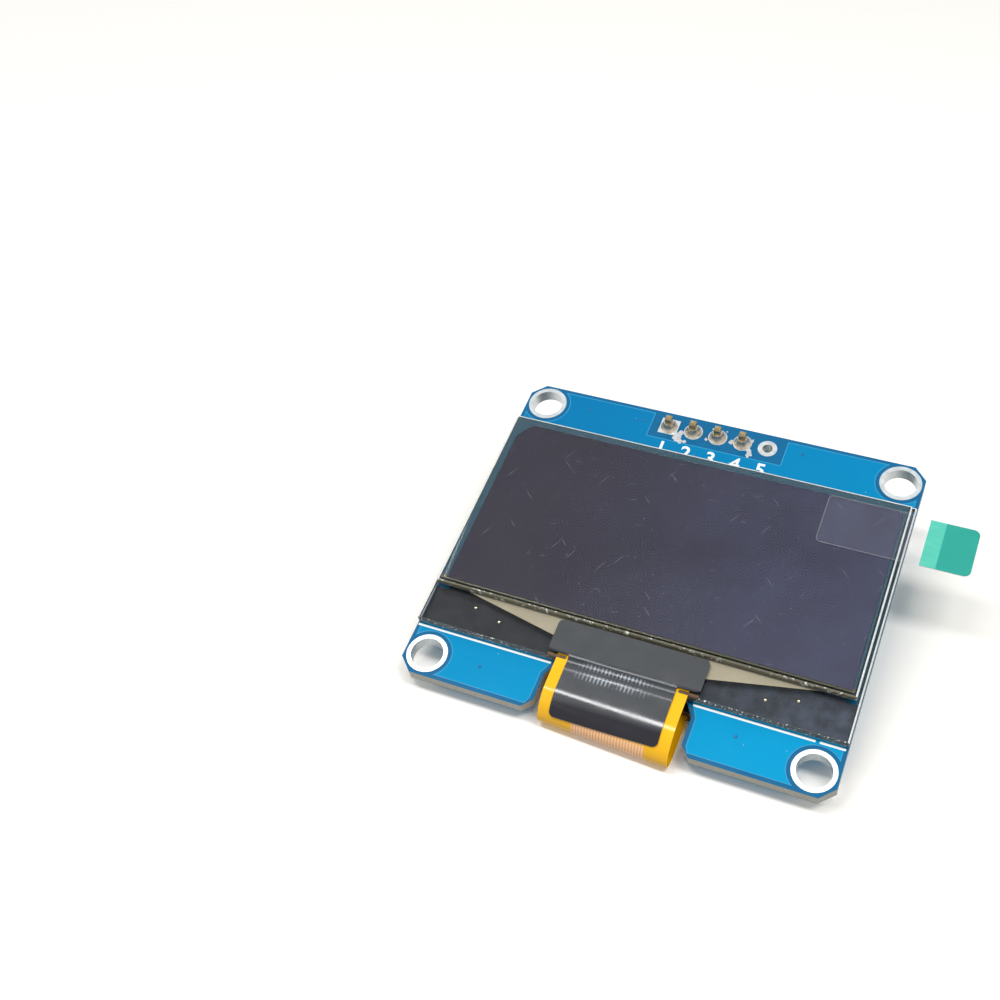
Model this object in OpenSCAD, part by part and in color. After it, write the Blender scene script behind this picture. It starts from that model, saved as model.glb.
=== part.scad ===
// Small OLED display module: a laminated glass panel taped to the front of a
// circuit board, with its flex circuit folded through a notch in the board's
// lower edge into a connector on the back, and a shrouded cable connector
// soldered through the board's upper edge.
//
// X runs along the board's long side, Y up the display, Z out of the display.
// The origin is the middle of the board on its front face, which is also the
// middle of the four mounting holes.

/* [Board] */
// Width of the board
board_w = 40.8; // [38:0.1:46]
// Height of the board
board_h = 35.5; // [33:0.1:40]
// Thickness of the board
board_t = 1.2; // [0.8:0.1:1.6]
// Leg of the cut across each board corner
corner_cut = 1.3; // [0.5:0.1:1.6]

/* [Mounting holes] */
// Distance of the hole centres from the board's left and right edges
hole_edge_x = 2.2; // [2.1:0.05:2.6]
// Distance of the hole centres from the board's upper and lower edges
hole_edge_y = 2.25; // [2.1:0.05:2.6]
// Bore of each plated hole
hole_d = 3.1; // [2:0.1:3.2]
// Outer diameter of the solder ring round each hole
ring_d = 3.95; // [3.5:0.05:4]
// Thickness of the plating and the pads
plating_t = 0.05; // [0.03:0.01:0.08]

/* [Board notch] */
// Clearance of the notch's straight sides beside the flex
notch_gap = 0.75; // [0.4:0.05:1.2]
// How far the notch's neck narrows inside its straight sides
neck_inset = 1.05; // [0.5:0.05:1.4]
// How far the notch's mouth flares outside its straight sides
mouth_gap = 0.9; // [0.4:0.05:1.6]
// Depth of the notch from the lower board edge
notch_depth = 5.5; // [4.8:0.1:5.6]
// Height of the flare at the mouth
mouth_flare = 1; // [0.5:0.1:1.5]
// Height of the slanted shoulders at the inner end
shoulder_h = 1.8; // [1:0.1:2.2]

/* [Header row] */
// Distance between the header holes
pin_pitch = 2.54; // [2:0.01:2.54]
// Number of header holes
header_holes = 5; // [4:1:6]
// Number of holes taken by the cable connector
pins_fitted = 4; // [2:1:4]
// Distance of the row from the upper board edge
header_edge = 1.73; // [1.6:0.01:2]
// Drill size of the header holes
header_drill = 1.1; // [1.05:0.01:1.2]
// Diameter of the header pads
pad_d = 1.9; // [1.5:0.05:2]
// Width of the square connector pins
pin_w = 0.64; // [0.5:0.01:0.66]
// Length of the tapered tip at each end of a pin
pin_tip = 0.25; // [0.1:0.05:0.4]
// How far the pins stand out of the front face
pin_front = 1.7; // [1:0.1:2.2]
// Height of the solder cone round each pin
solder_h = 0.75; // [0.4:0.05:0.8]
// Rim of bare pad left round each solder cone
solder_rim = 0.1; // [0.05:0.01:0.2]
// Thickness of the solder's outer edge on the pad
solder_foot = 0.06; // [0.03:0.01:0.1]

/* [Display glass] */
// How far the lower glass stays inside the board's left and right edges
glass_gap = 0.05; // [0:0.05:1]
// Height of the lower glass
glass_h = 25.15; // [24:0.05:25.4]
// Thickness of the lower glass
glass_t = 0.7; // [0.5:0.05:1.1]
// Distance of the lower glass from the lower board edge
glass_rise = 5.1; // [5:0.05:5.4]
// Height of the bare ledge below the cap glass
ledge_h = 4.05; // [3.8:0.05:4.4]
// Thickness of the cap glass
cap_t = 0.65; // [0.5:0.05:1]
// How far the cap glass stays inside the lower glass
cap_inset = 0.38; // [0.2:0.02:0.6]
// Depth of the etched pocket under the cap glass
pocket_depth = 0.15; // [0.05:0.05:0.25]
// Thickness of the foam tape behind the glass
foam_t = 0.2; // [0.1:0.05:0.5]
// How far the foam tape stays inside the dark area
foam_inset = 0.2; // [0.1:0.05:0.5]
// Margin of the foam tape inside the ledge edges
foam_margin = 0.15; // [0.05:0.05:0.5]

/* [Display layers] */
// Margin of clear glass round the dark pixel layer
pixel_margin = 0.8; // [0.7:0.05:1.5]
// Margin of the pixel layer above the ledge
pixel_margin_low = 0.3; // [0.2:0.05:0.6]
// Leg of the cut across the pixel layer's corners
pixel_cut = 0.9; // [0.3:0.1:1.5]
// Thickness of the printed layers on the lower glass
layer_t = 0.02; // [0.01:0.01:0.04]
// Thickness of the glued seal under the cap glass
seal_t = 0.03; // [0.02:0.01:0.06]
// Width of the glued seal
seal_w = 0.45; // [0.2:0.05:0.5]
// Clear gap between the seal and the pixel layer
seal_gap = 0.1; // [0.05:0.01:0.15]
// Thickness of the polariser
polariser_t = 0.15; // [0.1:0.01:0.25]
// Margin of the polariser inside the cap glass
polariser_margin = 0.3; // [0.1:0.05:0.5]
// Thickness of the protective film
film_t = 0.05; // [0.03:0.01:0.1]
// How far the track fan starts inside the pixel layer's side edges
fan_inset = 0.95; // [0.6:0.05:3]
// Width of the track fan at the driver chip
fan_low_w = 12.6; // [12:0.1:15]
// Height of the track fan on the ledge
fan_drop = 2.1; // [1.5:0.05:2.4]

/* [Driver chip] */
// How far the bare driver chip stays inside the flex's sides
chip_inset = 0.1; // [0:0.1:2]
// Width of the bare driver chip
chip_h = 1.4; // [1:0.1:1.5]
// Thickness of the bare driver chip
chip_t = 0.25; // [0.15:0.05:0.35]
// Distance of the chip from the cap glass
chip_gap = 1.05; // [0.9:0.05:1.15]

/* [Flex circuit] */
// Margin of the flex past the middle of its last contact
flex_margin = 0.45; // [0.35:0.05:0.5]
// Thickness of the flex circuit
flex_t = 0.12; // [0.08:0.01:0.15]
// Length of the flex bonded to the ledge
bond_len = 1.3; // [1:0.05:1.35]
// Radius of the glue beads beside the tape's stem
bead_r = 0.22; // [0.15:0.01:0.3]
// Thickness of the bond under the flex
bond_t = 0.02; // [0.01:0.01:0.03]
// Straight run of the flex past the glass edge
flex_run = 2.9; // [2:0.1:3.5]
// How far the middle of the fold stands below the lower board edge
fold_reach = 0.6; // [0.3:0.05:1.2]
// How much further the fold stands out on its right side
fold_skew = 0.35; // [0:0.05:0.5]
// Distance of the fold's lower end from the lower board edge
fold_return = 1.4; // [1:0.1:2]

/* [Cover tape] */
// How far the tape head reaches past the flex's sides
head_gap = 1; // [0.6:0.1:1.8]
// Height of the tape head
head_h = 3.35; // [3.2:0.05:3.5]
// Margin of bare flex beside the tape stem
stem_inset = 1.1; // [0.7:0.1:2]
// Thickness of the cover tape
cover_t = 0.1; // [0.05:0.01:0.15]
// Gap between the tape head and the cap glass
cover_gap = 0.25; // [0.1:0.05:0.3]
// Corner radius of the cover tape
cover_r = 0.5; // [0.2:0.05:1]

/* [Pull tab] */
// Width of the pull tape
pull_w = 5.4; // [3:0.1:8]
// Thickness of the pull tape
pull_t = 0.06; // [0.04:0.01:0.1]
// Length of the pull tape lying on the film
pull_grip = 7.2; // [4:0.1:12]
// Length of the clear pull tape past the film
pull_free = 2.2; // [1:0.1:5]
// Length of the coloured flag at the end
flag_len = 4.6; // [3:0.1:8]
// Corner radius of the coloured flag
flag_r = 0.6; // [0.2:0.05:1.2]
// Clear margin of tape round the coloured flag
flag_margin = 0.15; // [0.05:0.05:0.4]
// Distance of the tape's middle from the upper glass edge
pull_drop = 4.1; // [3:0.1:12]

/* [Flex connector] */
// Thickness of the flex connector's walls beside the slot
zif_wall_t = 2.5; // [1.8:0.1:3.2]
// Depth of the flex connector housing
zif_d = 4.3; // [3.5:0.1:5]
// Height of the flex connector
zif_h = 2; // [1.6:0.1:2.4]
// Depth of the sliding lock in front of the housing
slider_d = 0.9; // [0.6:0.1:1.2]
// Height of the slot for the flex
slot_h = 0.3; // [0.24:0.02:0.4]
// Depth of the slot in the housing
slot_d = 3.2; // [2.5:0.1:3.4]
// Number of contacts
contact_count = 24; // [20:1:24]
// Distance between the contacts
contact_pitch = 0.5; // [0.5:0.01:0.52]
// Length of each soldered contact tail
tail_len = 0.9; // [0.6:0.1:1.2]
// Width of each contact
contact_w = 0.2; // [0.15:0.01:0.25]
// Thickness of each contact
contact_t = 0.15; // [0.1:0.01:0.2]
// Height at which each contact leaves the housing
contact_rise = 0.6; // [0.4:0.05:0.8]
// Side of the two soldered anchors
anchor_w = 1.2; // [0.8:0.1:1.4]
// Thickness of the two soldered anchors
anchor_t = 0.2; // [0.15:0.01:0.25]
// Width of the slider's arms
arm_w = 0.5; // [0.4:0.05:0.6]
// Height of the slider's arms
arm_h = 0.8; // [0.6:0.05:0.9]
// Running gap round the slider
slider_gap = 0.05; // [0.03:0.01:0.08]
// How far the slider's bar stands past the housing's sides
slider_ear = 0.6; // [0.55:0.05:1]
// How far the slider stays inside the connector's height
slider_relief = 0.1; // [0.05:0.05:0.2]

/* [Cable connector] */
// Width of the shroud past the two end pins together
shroud_extra_w = 4.78; // [4.4:0.02:5]
// Depth of the shroud
shroud_d = 5.75; // [5.5:0.05:6]
// Height of the shroud
shroud_h = 7; // [6:0.1:8]
// Wall thickness of the shroud
shroud_wall_t = 0.75; // [0.6:0.05:0.9]
// Thickness of the shroud's base
shroud_base_t = 1.8; // [1.4:0.1:2.4]
// Distance of the pins from the shroud's outer long wall
shroud_pin_d = 2.35; // [2.1:0.05:2.6]
// Width of the two keying slots in the inner long wall
key_w = 1.3; // [0.8:0.1:1.6]
// Depth of the keying slots from the open end
key_depth = 4; // [2:0.1:4.2]
// Distance between the keying slots
key_pitch = 5.1; // [4:0.1:6]
// Width of the relief slot in each short wall
relief_w = 1.6; // [1:0.1:2]
// How far the pin tips stay below the shroud's rim
pin_sink = 1.2; // [0.8:0.1:2]
// Width and depth of the two recesses in the shroud's foot
recess_w = 1.2; // [0.8:0.1:1.5]
// Height of the two recesses in the shroud's foot
recess_h = 0.4; // [0.2:0.05:0.6]

/* [Small rear parts] */
// Length of a chip resistor or capacitor
chip_part_l = 1.6; // [1:0.1:2]
// Width of a chip resistor or capacitor
chip_part_w = 0.8; // [0.5:0.1:1.2]
// Height of a chip capacitor
capacitor_t = 0.8; // [0.5:0.05:1]
// Height of a chip resistor
resistor_t = 0.45; // [0.3:0.05:0.6]
// Length of each end cap
end_cap = 0.3; // [0.2:0.05:0.4]
// Number of capacitors in the row by the flex connector
capacitor_count = 7; // [3:1:8]
// Distance between the capacitors
capacitor_pitch = 2.9; // [2.2:0.1:3.2]
// Number of resistors in the row by the cable connector
resistor_count = 5; // [2:1:6]
// Distance between the resistors
resistor_pitch = 1.9; // [1.6:0.1:2]
// Length of the regulator body
regulator_l = 2.9; // [2.6:0.1:3.2]
// Width of the regulator body
regulator_w = 1.3; // [1.2:0.1:1.7]
// Height of the regulator body
regulator_t = 1.1; // [0.8:0.1:1.2]
// Length of the diode body
diode_l = 2.7; // [1.8:0.1:3]
// Width of the diode body
diode_w = 1.6; // [1.2:0.1:1.8]
// Thickness of the leads
lead_t = 0.15; // [0.1:0.01:0.2]
// Length of the leads outside the bodies
lead_out = 0.55; // [0.4:0.05:0.7]
// Width of the regulator's leads
regulator_lead_w = 0.4; // [0.3:0.05:0.5]
// Distance between the regulator's paired leads
regulator_lead_pitch = 1.9; // [1.8:0.05:2]
// Width of the diode's leads
diode_lead_w = 0.6; // [0.4:0.05:0.8]
// Gap between the bodies and the board
body_lift = 0.1; // [0.05:0.01:0.15]

/* [Hidden] */
$fn = 64;

// Small allowance by which cutting shapes pass the faces they cut
over = 0.1;

// Width of the flex, which follows from its contacts
flex_w = (contact_count - 1) * contact_pitch + 2 * flex_margin;

// Board
board_low = -board_h / 2;
board_top = board_h / 2;
hole_pitch_x = board_w - 2 * hole_edge_x;
hole_pitch_y = board_h - 2 * hole_edge_y;
back_z = -board_t;
header_y = board_top - header_edge;
// Solder left at the pin's corners at the top of each cone
solder_skin = 0.04;
// Number of steps along each cone's hollow side
solder_steps = 6;
// Share of the pin's width left at its very tip
tip_share = 0.5;

// Glass stack, from the board's front face outwards
glass_w = board_w - 2 * glass_gap;
glass_low = board_low + glass_rise;
glass_top = glass_low + glass_h;
ledge_z = foam_t + glass_t;
cap_low = glass_low + ledge_h;
cap_top = glass_top - cap_inset;
cap_w = glass_w - 2 * cap_inset;
seal_z = ledge_z + layer_t;
cap_z = seal_z + seal_t;
face_z = cap_z + cap_t;
film_z = face_z + polariser_t;
pull_z = film_z + film_t;

// Pixel layer
pixel_w = cap_w - 2 * pixel_margin;
pixel_low = cap_low + pixel_margin_low;
pixel_top = cap_top - pixel_margin;
fan_top_w = pixel_w - 2 * fan_inset;
// Distance of the seal from the edge of the cap glass
seal_margin = pixel_margin - seal_gap - seal_w;

// Film over the display
film_w = cap_w - 2 * polariser_margin;
film_low = cap_low + polariser_margin;
film_top = cap_top - polariser_margin;

// Driver chip
chip_top = cap_low - chip_gap;
chip_z = seal_z;
chip_w = flex_w - 2 * chip_inset;

// Flex circuit: the fold starts after the straight run and ends on the
// level of the connector's slot behind the board
flex_mid = ledge_z + bond_t + flex_t / 2;
flex_top = flex_mid + flex_t / 2;
slot_z = back_z - zif_h / 2;
fold_start = glass_low - flex_run;
fold_end = board_low + fold_return;
// Half the slant between the fold's two curve handles
handle_slant = 0.9;
// Place along the fold's curve, from 0 to 1, that stands out furthest
fold_peak = 0.6;
// Number of straight steps along the fold
fold_steps = 18;

// Cover tape
// Play under the cover tape
cover_lift = 0.02;
head_w = flex_w + 2 * head_gap;
stem_w = flex_w - 2 * stem_inset;
cover_top = cap_low - cover_gap;
head_low = cover_top - head_h;
// Place and length of the ramp down from the driver chip to the flex
ramp_start = chip_top - chip_h - chip_t / 5;
ramp_len = 2 * chip_t;
stem_low = board_low;

// Flex connector: it stands just behind the notch
zif_setback = 0.1;
// Clearance of the slot's ends past the flex edges
slot_play = 0.1;
// Gap between the flex's end and the slot's floor
slot_end = 0.1;
zif_front = board_low + notch_depth + zif_setback;
zif_back = zif_front + zif_d;
slot_w = flex_w + 2 * slot_play;
zif_w = slot_w + 2 * zif_wall_t;

// Cable connector: it takes the first holes of the row
pins_first_x = -(header_holes - 1) * pin_pitch / 2;
pins_mid_x = pins_first_x + (pins_fitted - 1) * pin_pitch / 2;
shroud_w = (pins_fitted - 1) * pin_pitch + shroud_extra_w;
shroud_top = header_y + shroud_pin_d;

// Small rear parts
// Clear board between the parts and the connectors they serve
part_space = 0.8;
capacitor_y = zif_back + tail_len + part_space + chip_part_l / 2;
resistor_y = shroud_top - shroud_d - part_space - regulator_l;
side_parts_x = 0.3 * board_w;

// ---- Shared shapes ----

// Rectangle centred on x = 0 between two heights
module band(w, low, high) {
    translate([-w / 2, low])
        square([w, high - low]);
}

// Plate of a 2D outline between two levels
module plate(z_low, z_high) {
    translate([0, 0, z_low])
        linear_extrude(z_high - z_low)
            children();
}

// Box given by its two opposite corners
module block(from, to) {
    translate(from)
        cube(to - from);
}

// Rectangle with its corners cut off at 45 degrees
module cut_corner_rect(w, low, high, cut) {
    polygon([
        [-w / 2, low + cut], [-w / 2 + cut, low],
        [w / 2 - cut, low], [w / 2, low + cut],
        [w / 2, high - cut], [w / 2 - cut, high],
        [-w / 2 + cut, high], [-w / 2, high - cut]
    ]);
}

// Children at the four mounting holes
module at_mounting_holes() {
    for (sx = [-1, 1], sy = [-1, 1])
        translate([sx * hole_pitch_x / 2, sy * hole_pitch_y / 2, 0])
            children();
}

// Children at the header holes from one number to another
module at_header_holes(first, last) {
    for (i = [first : last])
        translate([pins_first_x + i * pin_pitch, header_y, 0])
            children();
}

// ---- Board ----

// Kinked outline of the notch: flared mouth, straight sides, slanted neck
module notch_outline() {
    inner = board_low + notch_depth;
    notch_w = flex_w + 2 * notch_gap;
    notch_neck_w = notch_w - 2 * neck_inset;
    notch_mouth_w = notch_w + 2 * mouth_gap;
    polygon([
        [-notch_mouth_w / 2, board_low - over],
        [-notch_mouth_w / 2, board_low],
        [-notch_w / 2, board_low + mouth_flare],
        [-notch_w / 2, inner - shoulder_h],
        [-notch_neck_w / 2, inner],
        [notch_neck_w / 2, inner],
        [notch_w / 2, inner - shoulder_h],
        [notch_w / 2, board_low + mouth_flare],
        [notch_mouth_w / 2, board_low],
        [notch_mouth_w / 2, board_low - over]
    ]);
}

module pcb() {
    color("#0089BF")
        difference() {
            plate(back_z, 0)
                difference() {
                    cut_corner_rect(board_w, board_low, board_top, corner_cut);
                    notch_outline();
                }
            at_mounting_holes()
                translate([0, 0, back_z - over])
                    cylinder(d = hole_d + 2 * plating_t, h = board_t + 2 * over);
            at_header_holes(0, header_holes - 1)
                translate([0, 0, back_z - over])
                    cylinder(d = header_drill, h = board_t + 2 * over);
        }
}

// Plated hole: a barrel through the board and a pad on each face
module plated_hole(bore, wall, pad, square_pad = false) {
    difference() {
        union() {
            for (z = [0, back_z - plating_t])
                translate([0, 0, z])
                    if (square_pad)
                        translate([-pad / 2, -pad / 2, 0])
                            cube([pad, pad, plating_t]);
                    else
                        cylinder(d = pad, h = plating_t);
            translate([0, 0, back_z])
                cylinder(d = bore + 2 * wall, h = board_t);
        }
        translate([0, 0, back_z - plating_t - over])
            cylinder(d = bore, h = board_t + 2 * (plating_t + over));
    }
}

module mounting_rings() {
    color("#D8D8D2")
        at_mounting_holes()
            plated_hole(hole_d, plating_t, ring_d);
}

// The first pad of the row is square
module header_pads() {
    bore = header_drill - 2 * plating_t;
    color("#C9CCCB") {
        at_header_holes(0, 0)
            plated_hole(bore, plating_t, pad_d, true);
        at_header_holes(1, header_holes - 1)
            plated_hole(bore, plating_t, pad_d);
    }
}

// Solder fills each barrel and climbs the pin as a hollow cone
module header_solder() {
    bore = header_drill - 2 * plating_t;
    foot_r = pad_d / 2 - solder_rim;
    tip_r = pin_w * sqrt(2) / 2 + solder_skin;
    foot_z = plating_t + solder_foot;
    color("#B9BCBE")
        at_header_holes(0, pins_fitted - 1)
            difference() {
                rotate_extrude()
                    polygon([
                        [0, back_z], [bore / 2, back_z], [bore / 2, plating_t],
                        [foot_r, plating_t],
                        for (i = [0 : solder_steps])
                            let (t = i / solder_steps)
                                [tip_r + (foot_r - tip_r) * pow(1 - t, 2),
                                 foot_z + (solder_h - solder_foot) * t],
                        [0, plating_t + solder_h]
                    ]);
                block([-pin_w / 2, -pin_w / 2, back_z - over],
                      [pin_w / 2, pin_w / 2, pin_front + over]);
            }
}

// Square pins with pointed ends, from inside the shroud to the front
module connector_pins() {
    low = back_z - shroud_h + pin_sink;
    color("#C8B27A")
        at_header_holes(0, pins_fitted - 1) {
            block([-pin_w / 2, -pin_w / 2, low + pin_tip],
                  [pin_w / 2, pin_w / 2, pin_front - pin_tip]);
            for (z = [low + pin_tip, pin_front - pin_tip])
                translate([0, 0, z])
                    mirror([0, 0, z < 0 ? 1 : 0])
                        linear_extrude(pin_tip, scale = tip_share)
                            square(pin_w, center = true);
        }
}

// ---- Cable connector ----

module cable_connector() {
    rim = back_z - shroud_h;
    floor_z = back_z - shroud_base_t;
    x0 = pins_mid_x - shroud_w / 2;
    x1 = pins_mid_x + shroud_w / 2;
    y1 = shroud_top;
    y0 = y1 - shroud_d;
    mid_y = (y0 + y1) / 2;
    color("#F2EFE6")
        difference() {
            block([x0, y0, rim], [x1, y1, back_z - plating_t]);
            // Socket for the cable's plug
            block([x0 + shroud_wall_t, y0 + shroud_wall_t, rim - over],
                  [x1 - shroud_wall_t, y1 - shroud_wall_t, floor_z]);
            // Keying slots in the inner long wall
            for (side = [-1, 1])
                translate([pins_mid_x + side * key_pitch / 2, 0, 0])
                    block([-key_w / 2, y0 - over, rim - over],
                          [key_w / 2, y0 + shroud_wall_t + over, rim + key_depth]);
            // Relief slots in the short walls
            block([x0 - over, mid_y - relief_w / 2, rim - over],
                  [x1 + over, mid_y + relief_w / 2, rim + key_depth]);
            // Foot recesses that keep the shroud clear of the solder
            for (side = [-1, 1])
                translate([pins_mid_x + side * (shroud_w / 2 - recess_w), 0, 0])
                    block([-recess_w / 2, y0 - over, back_z - recess_h],
                          [recess_w / 2, y0 + recess_w, back_z + over]);
            at_header_holes(0, pins_fitted - 1)
                block([-pin_w / 2, -pin_w / 2, rim],
                      [pin_w / 2, pin_w / 2, back_z + over]);
        }
}

// ---- Glass stack ----

// Full width behind the ledge, narrower behind the dark area
module foam_tape() {
    color("#2A2C30")
        plate(0, foam_t) {
            band(glass_w - 2 * foam_margin, glass_low + foam_margin, cap_low);
            band(pixel_w - 2 * foam_inset, cap_low - over, pixel_top - foam_inset);
        }
}

module lower_glass() {
    color("#9FB8B4", 0.5)
        plate(foam_t, ledge_z)
            band(glass_w, glass_low, glass_top);
}

module pixel_layer() {
    color("#3E3A4A")
        plate(ledge_z, ledge_z + layer_t)
            difference() {
                cut_corner_rect(pixel_w, pixel_low - pixel_cut, pixel_top, pixel_cut);
                band(pixel_w + over, pixel_low - pixel_cut - over, pixel_low);
            }
}

// Tracks gather from the pixel layer to the driver chip
module track_fan() {
    color("#A8A088")
        plate(ledge_z, ledge_z + layer_t)
            polygon([
                [-fan_top_w / 2, pixel_low], [fan_top_w / 2, pixel_low],
                [fan_low_w / 2, cap_low - fan_drop], [-fan_low_w / 2, cap_low - fan_drop]
            ]);
}

module edge_seal() {
    color("#7F8C8C")
        plate(seal_z, cap_z)
            difference() {
                band(cap_w - 2 * seal_margin, cap_low + layer_t, cap_top - seal_margin);
                band(cap_w - 2 * (seal_margin + seal_w), pixel_low - layer_t,
                     cap_top - seal_margin - seal_w);
            }
}

// The cap glass has a shallow etched pocket over the pixel layer
module cap_glass() {
    color("#9FB8B4", 0.5)
        difference() {
            plate(cap_z, face_z)
                band(cap_w, cap_low, cap_top);
            plate(cap_z - over, cap_z + pocket_depth)
                band(pixel_w, pixel_low, pixel_top);
        }
}

module polariser() {
    color("#3A3744")
        plate(face_z, film_z)
            band(film_w, film_low, film_top);
}

module protective_film() {
    color("#DDE6EA", 0.3)
        plate(film_z, pull_z)
            band(film_w, film_low, film_top);
}

// Clear tape on the film, running past its right edge
module pull_tape() {
    y = glass_top - pull_drop;
    color("#E8F2F0", 0.5)
        block([film_w / 2 - pull_grip, y - pull_w / 2, pull_z],
              [film_w / 2 + pull_free + flag_len, y + pull_w / 2, pull_z + pull_t]);
}

// Coloured flag laid under the free end, with rounded outer corners
module tab_flag() {
    y = glass_top - pull_drop;
    x0 = film_w / 2 + pull_free;
    x1 = x0 + flag_len - flag_margin;
    half = pull_w / 2 - flag_margin;
    color("#00AE9F")
        plate(pull_z - pull_t, pull_z) {
            translate([x0, y - half])
                square([x1 - flag_r - x0, 2 * half]);
            translate([x0, y - half + flag_r])
                square([x1 - x0, 2 * (half - flag_r)]);
            for (side = [-1, 1])
                translate([x1 - flag_r, y + side * (half - flag_r)])
                    circle(flag_r);
        }
}

module driver_chip() {
    color("#1E2024")
        block([-chip_w / 2, chip_top - chip_h, chip_z],
              [chip_w / 2, chip_top, chip_z + chip_t]);
}

// ---- Folded sheets ----

// Share of handle number i in a four-handle curve at place t
function weight(i, t) = [pow(1 - t, 3), 3 * t * pow(1 - t, 2),
                         3 * t * t * (1 - t), pow(t, 3)][i];

// How far out the fold reaches at a place across the flex
function reach_at(x) = board_low - fold_reach - fold_skew * x / (flex_w / 2);

// Height on the board of the handles that make the fold reach that far
function handle_at(x) =
    (reach_at(x) - weight(0, fold_peak) * fold_start - weight(3, fold_peak) * fold_end
        - handle_slant * (weight(1, fold_peak) - weight(2, fold_peak)))
    / (weight(1, fold_peak) + weight(2, fold_peak));

// The fold's four handles as [y, z] at a place across the flex
function fold_handles(x) = [
    [fold_start, flex_mid], [handle_at(x) + handle_slant, flex_mid],
    [handle_at(x) - handle_slant, slot_z], [fold_end, slot_z]
];

// Point on the fold's middle line
function fold_point(x, t) =
    let (h = fold_handles(x))
        [for (k = [0, 1]) weight(0, t) * h[0][k] + weight(1, t) * h[1][k]
            + weight(2, t) * h[2][k] + weight(3, t) * h[3][k]];

// Direction that points out of the fold
function fold_normal(x, t) =
    let (h = fold_handles(x),
         d = [for (k = [0, 1]) (1 - t) * (1 - t) * (h[1][k] - h[0][k])
                + 2 * t * (1 - t) * (h[2][k] - h[1][k]) + t * t * (h[3][k] - h[2][k])],
         n = sqrt(d[0] * d[0] + d[1] * d[1]))
        [d[1] / n, -d[0] / n];

// Points of the fold at a distance outside its middle line
function fold_line(x, out, last) =
    [for (i = [0 : last]) let (t = i / fold_steps)
        fold_point(x, t) + out * fold_normal(x, t)];

// Closed ring of a sheet: its outer line and then its inner line backwards
function sheet_ring(outer, inner) =
    concat(outer, [for (i = [len(inner) - 1 : -1 : 0]) inner[i]]);

// Solid skin through one ring of [y, z] points per station in x. The outer and
// the inner line are split along the same diagonals, so that sheets can nest.
module sheet_solid(stations, rings) {
    n = len(rings[0]);
    m = len(stations);
    points = [for (s = [0 : m - 1]) for (p = rings[s]) [stations[s], p[0], p[1]]];
    sides = [for (s = [0 : m - 2]) for (i = [0 : n - 1])
        let (a = s * n + i, b = s * n + (i + 1) % n)
            each i < n / 2 ? [[a, b + n, b], [a, a + n, b + n]]
                           : [[a, a + n, b], [a + n, b + n, b]]];
    // Each end is a strip of quads between the outer and the inner line
    first = [for (i = [0 : n / 2 - 2]) [i, i + 1, n - 2 - i, n - 1 - i]];
    last = [for (q = first) [for (k = [3 : -1 : 0]) q[k] + (m - 1) * n]];
    polyhedron(points = points, faces = concat(sides, first, last), convexity = 8);
}

// Line of the flex at a distance outside its middle, from bond to slot
function flex_line(x, out) = concat(
    [[glass_low + bond_len, flex_mid + out]],
    fold_line(x, out, fold_steps),
    [[zif_front + slot_d - slot_end, slot_z - out]]);

module flex_circuit() {
    stations = [-flex_w / 2, -stem_w / 2, 0, stem_w / 2, flex_w / 2];
    color("#FFB400")
        sheet_solid(stations, [for (x = stations)
            sheet_ring(flex_line(x, flex_t / 2), flex_line(x, -flex_t / 2))]);
}

// Line of the cover tape: flat over the chip, down a ramp, along the flex
function cover_line(x, out) =
    let (rest = flex_t / 2 + cover_lift)
        concat([[cover_top, chip_z + chip_t + cover_lift + out],
                [ramp_start, chip_z + chip_t + cover_lift + out],
                [ramp_start - ramp_len, flex_mid + rest + out]],
               fold_line(x, rest + out, fold_steps / 2));

// T-shaped tape with rounded corners, laid over the chip and the fold
module cover_tape() {
    stations = [-head_w / 2, -stem_w / 2, 0, stem_w / 2, head_w / 2];
    color("#4A5055")
        intersection() {
            sheet_solid(stations, [for (x = stations)
                sheet_ring(cover_line(x, cover_t), cover_line(x, 0))]);
            plate(slot_z, face_z)
                offset(r = cover_r)
                    offset(delta = -cover_r) {
                        band(head_w, head_low, cover_top);
                        band(stem_w, stem_low, cover_top);
                    }
        }
}

// Beads of glue over the flex edges where they leave the ledge
module bond_glue() {
    from = stem_w / 2 + 1.5 * bead_r;
    to = head_w / 2 - bead_r;
    color("#8A6A3A")
        for (side = [-1, 1])
            difference() {
                hull()
                    for (x = [from, to])
                        translate([side * x, glass_low + bead_r, ledge_z])
                            sphere(bead_r, $fn = 16);
                block([-head_w, glass_low - bead_r, ledge_z - 2 * bead_r],
                      [head_w, glass_low + 3 * bead_r, ledge_z]);
                block([-flex_w / 2, glass_low - bead_r, ledge_z - over],
                      [flex_w / 2, glass_low + 3 * bead_r, flex_top]);
            }
}

// ---- Flex connector ----

module zif_housing() {
    low = back_z - zif_h;
    color("#E9E2CF")
        difference() {
            block([-zif_w / 2, zif_front, low], [zif_w / 2, zif_back, back_z]);
            block([-slot_w / 2, zif_front - over, slot_z - slot_h / 2],
                  [slot_w / 2, zif_front + slot_d, slot_z + slot_h / 2]);
            // Rebates along the sides that guide the sliding lock
            for (side = [-1, 1])
                translate([side * zif_w / 2, 0, 0])
                    block([-arm_w, zif_front - over, slot_z - arm_h / 2],
                          [arm_w, zif_front + slot_d, slot_z + arm_h / 2]);
        }
}

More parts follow.
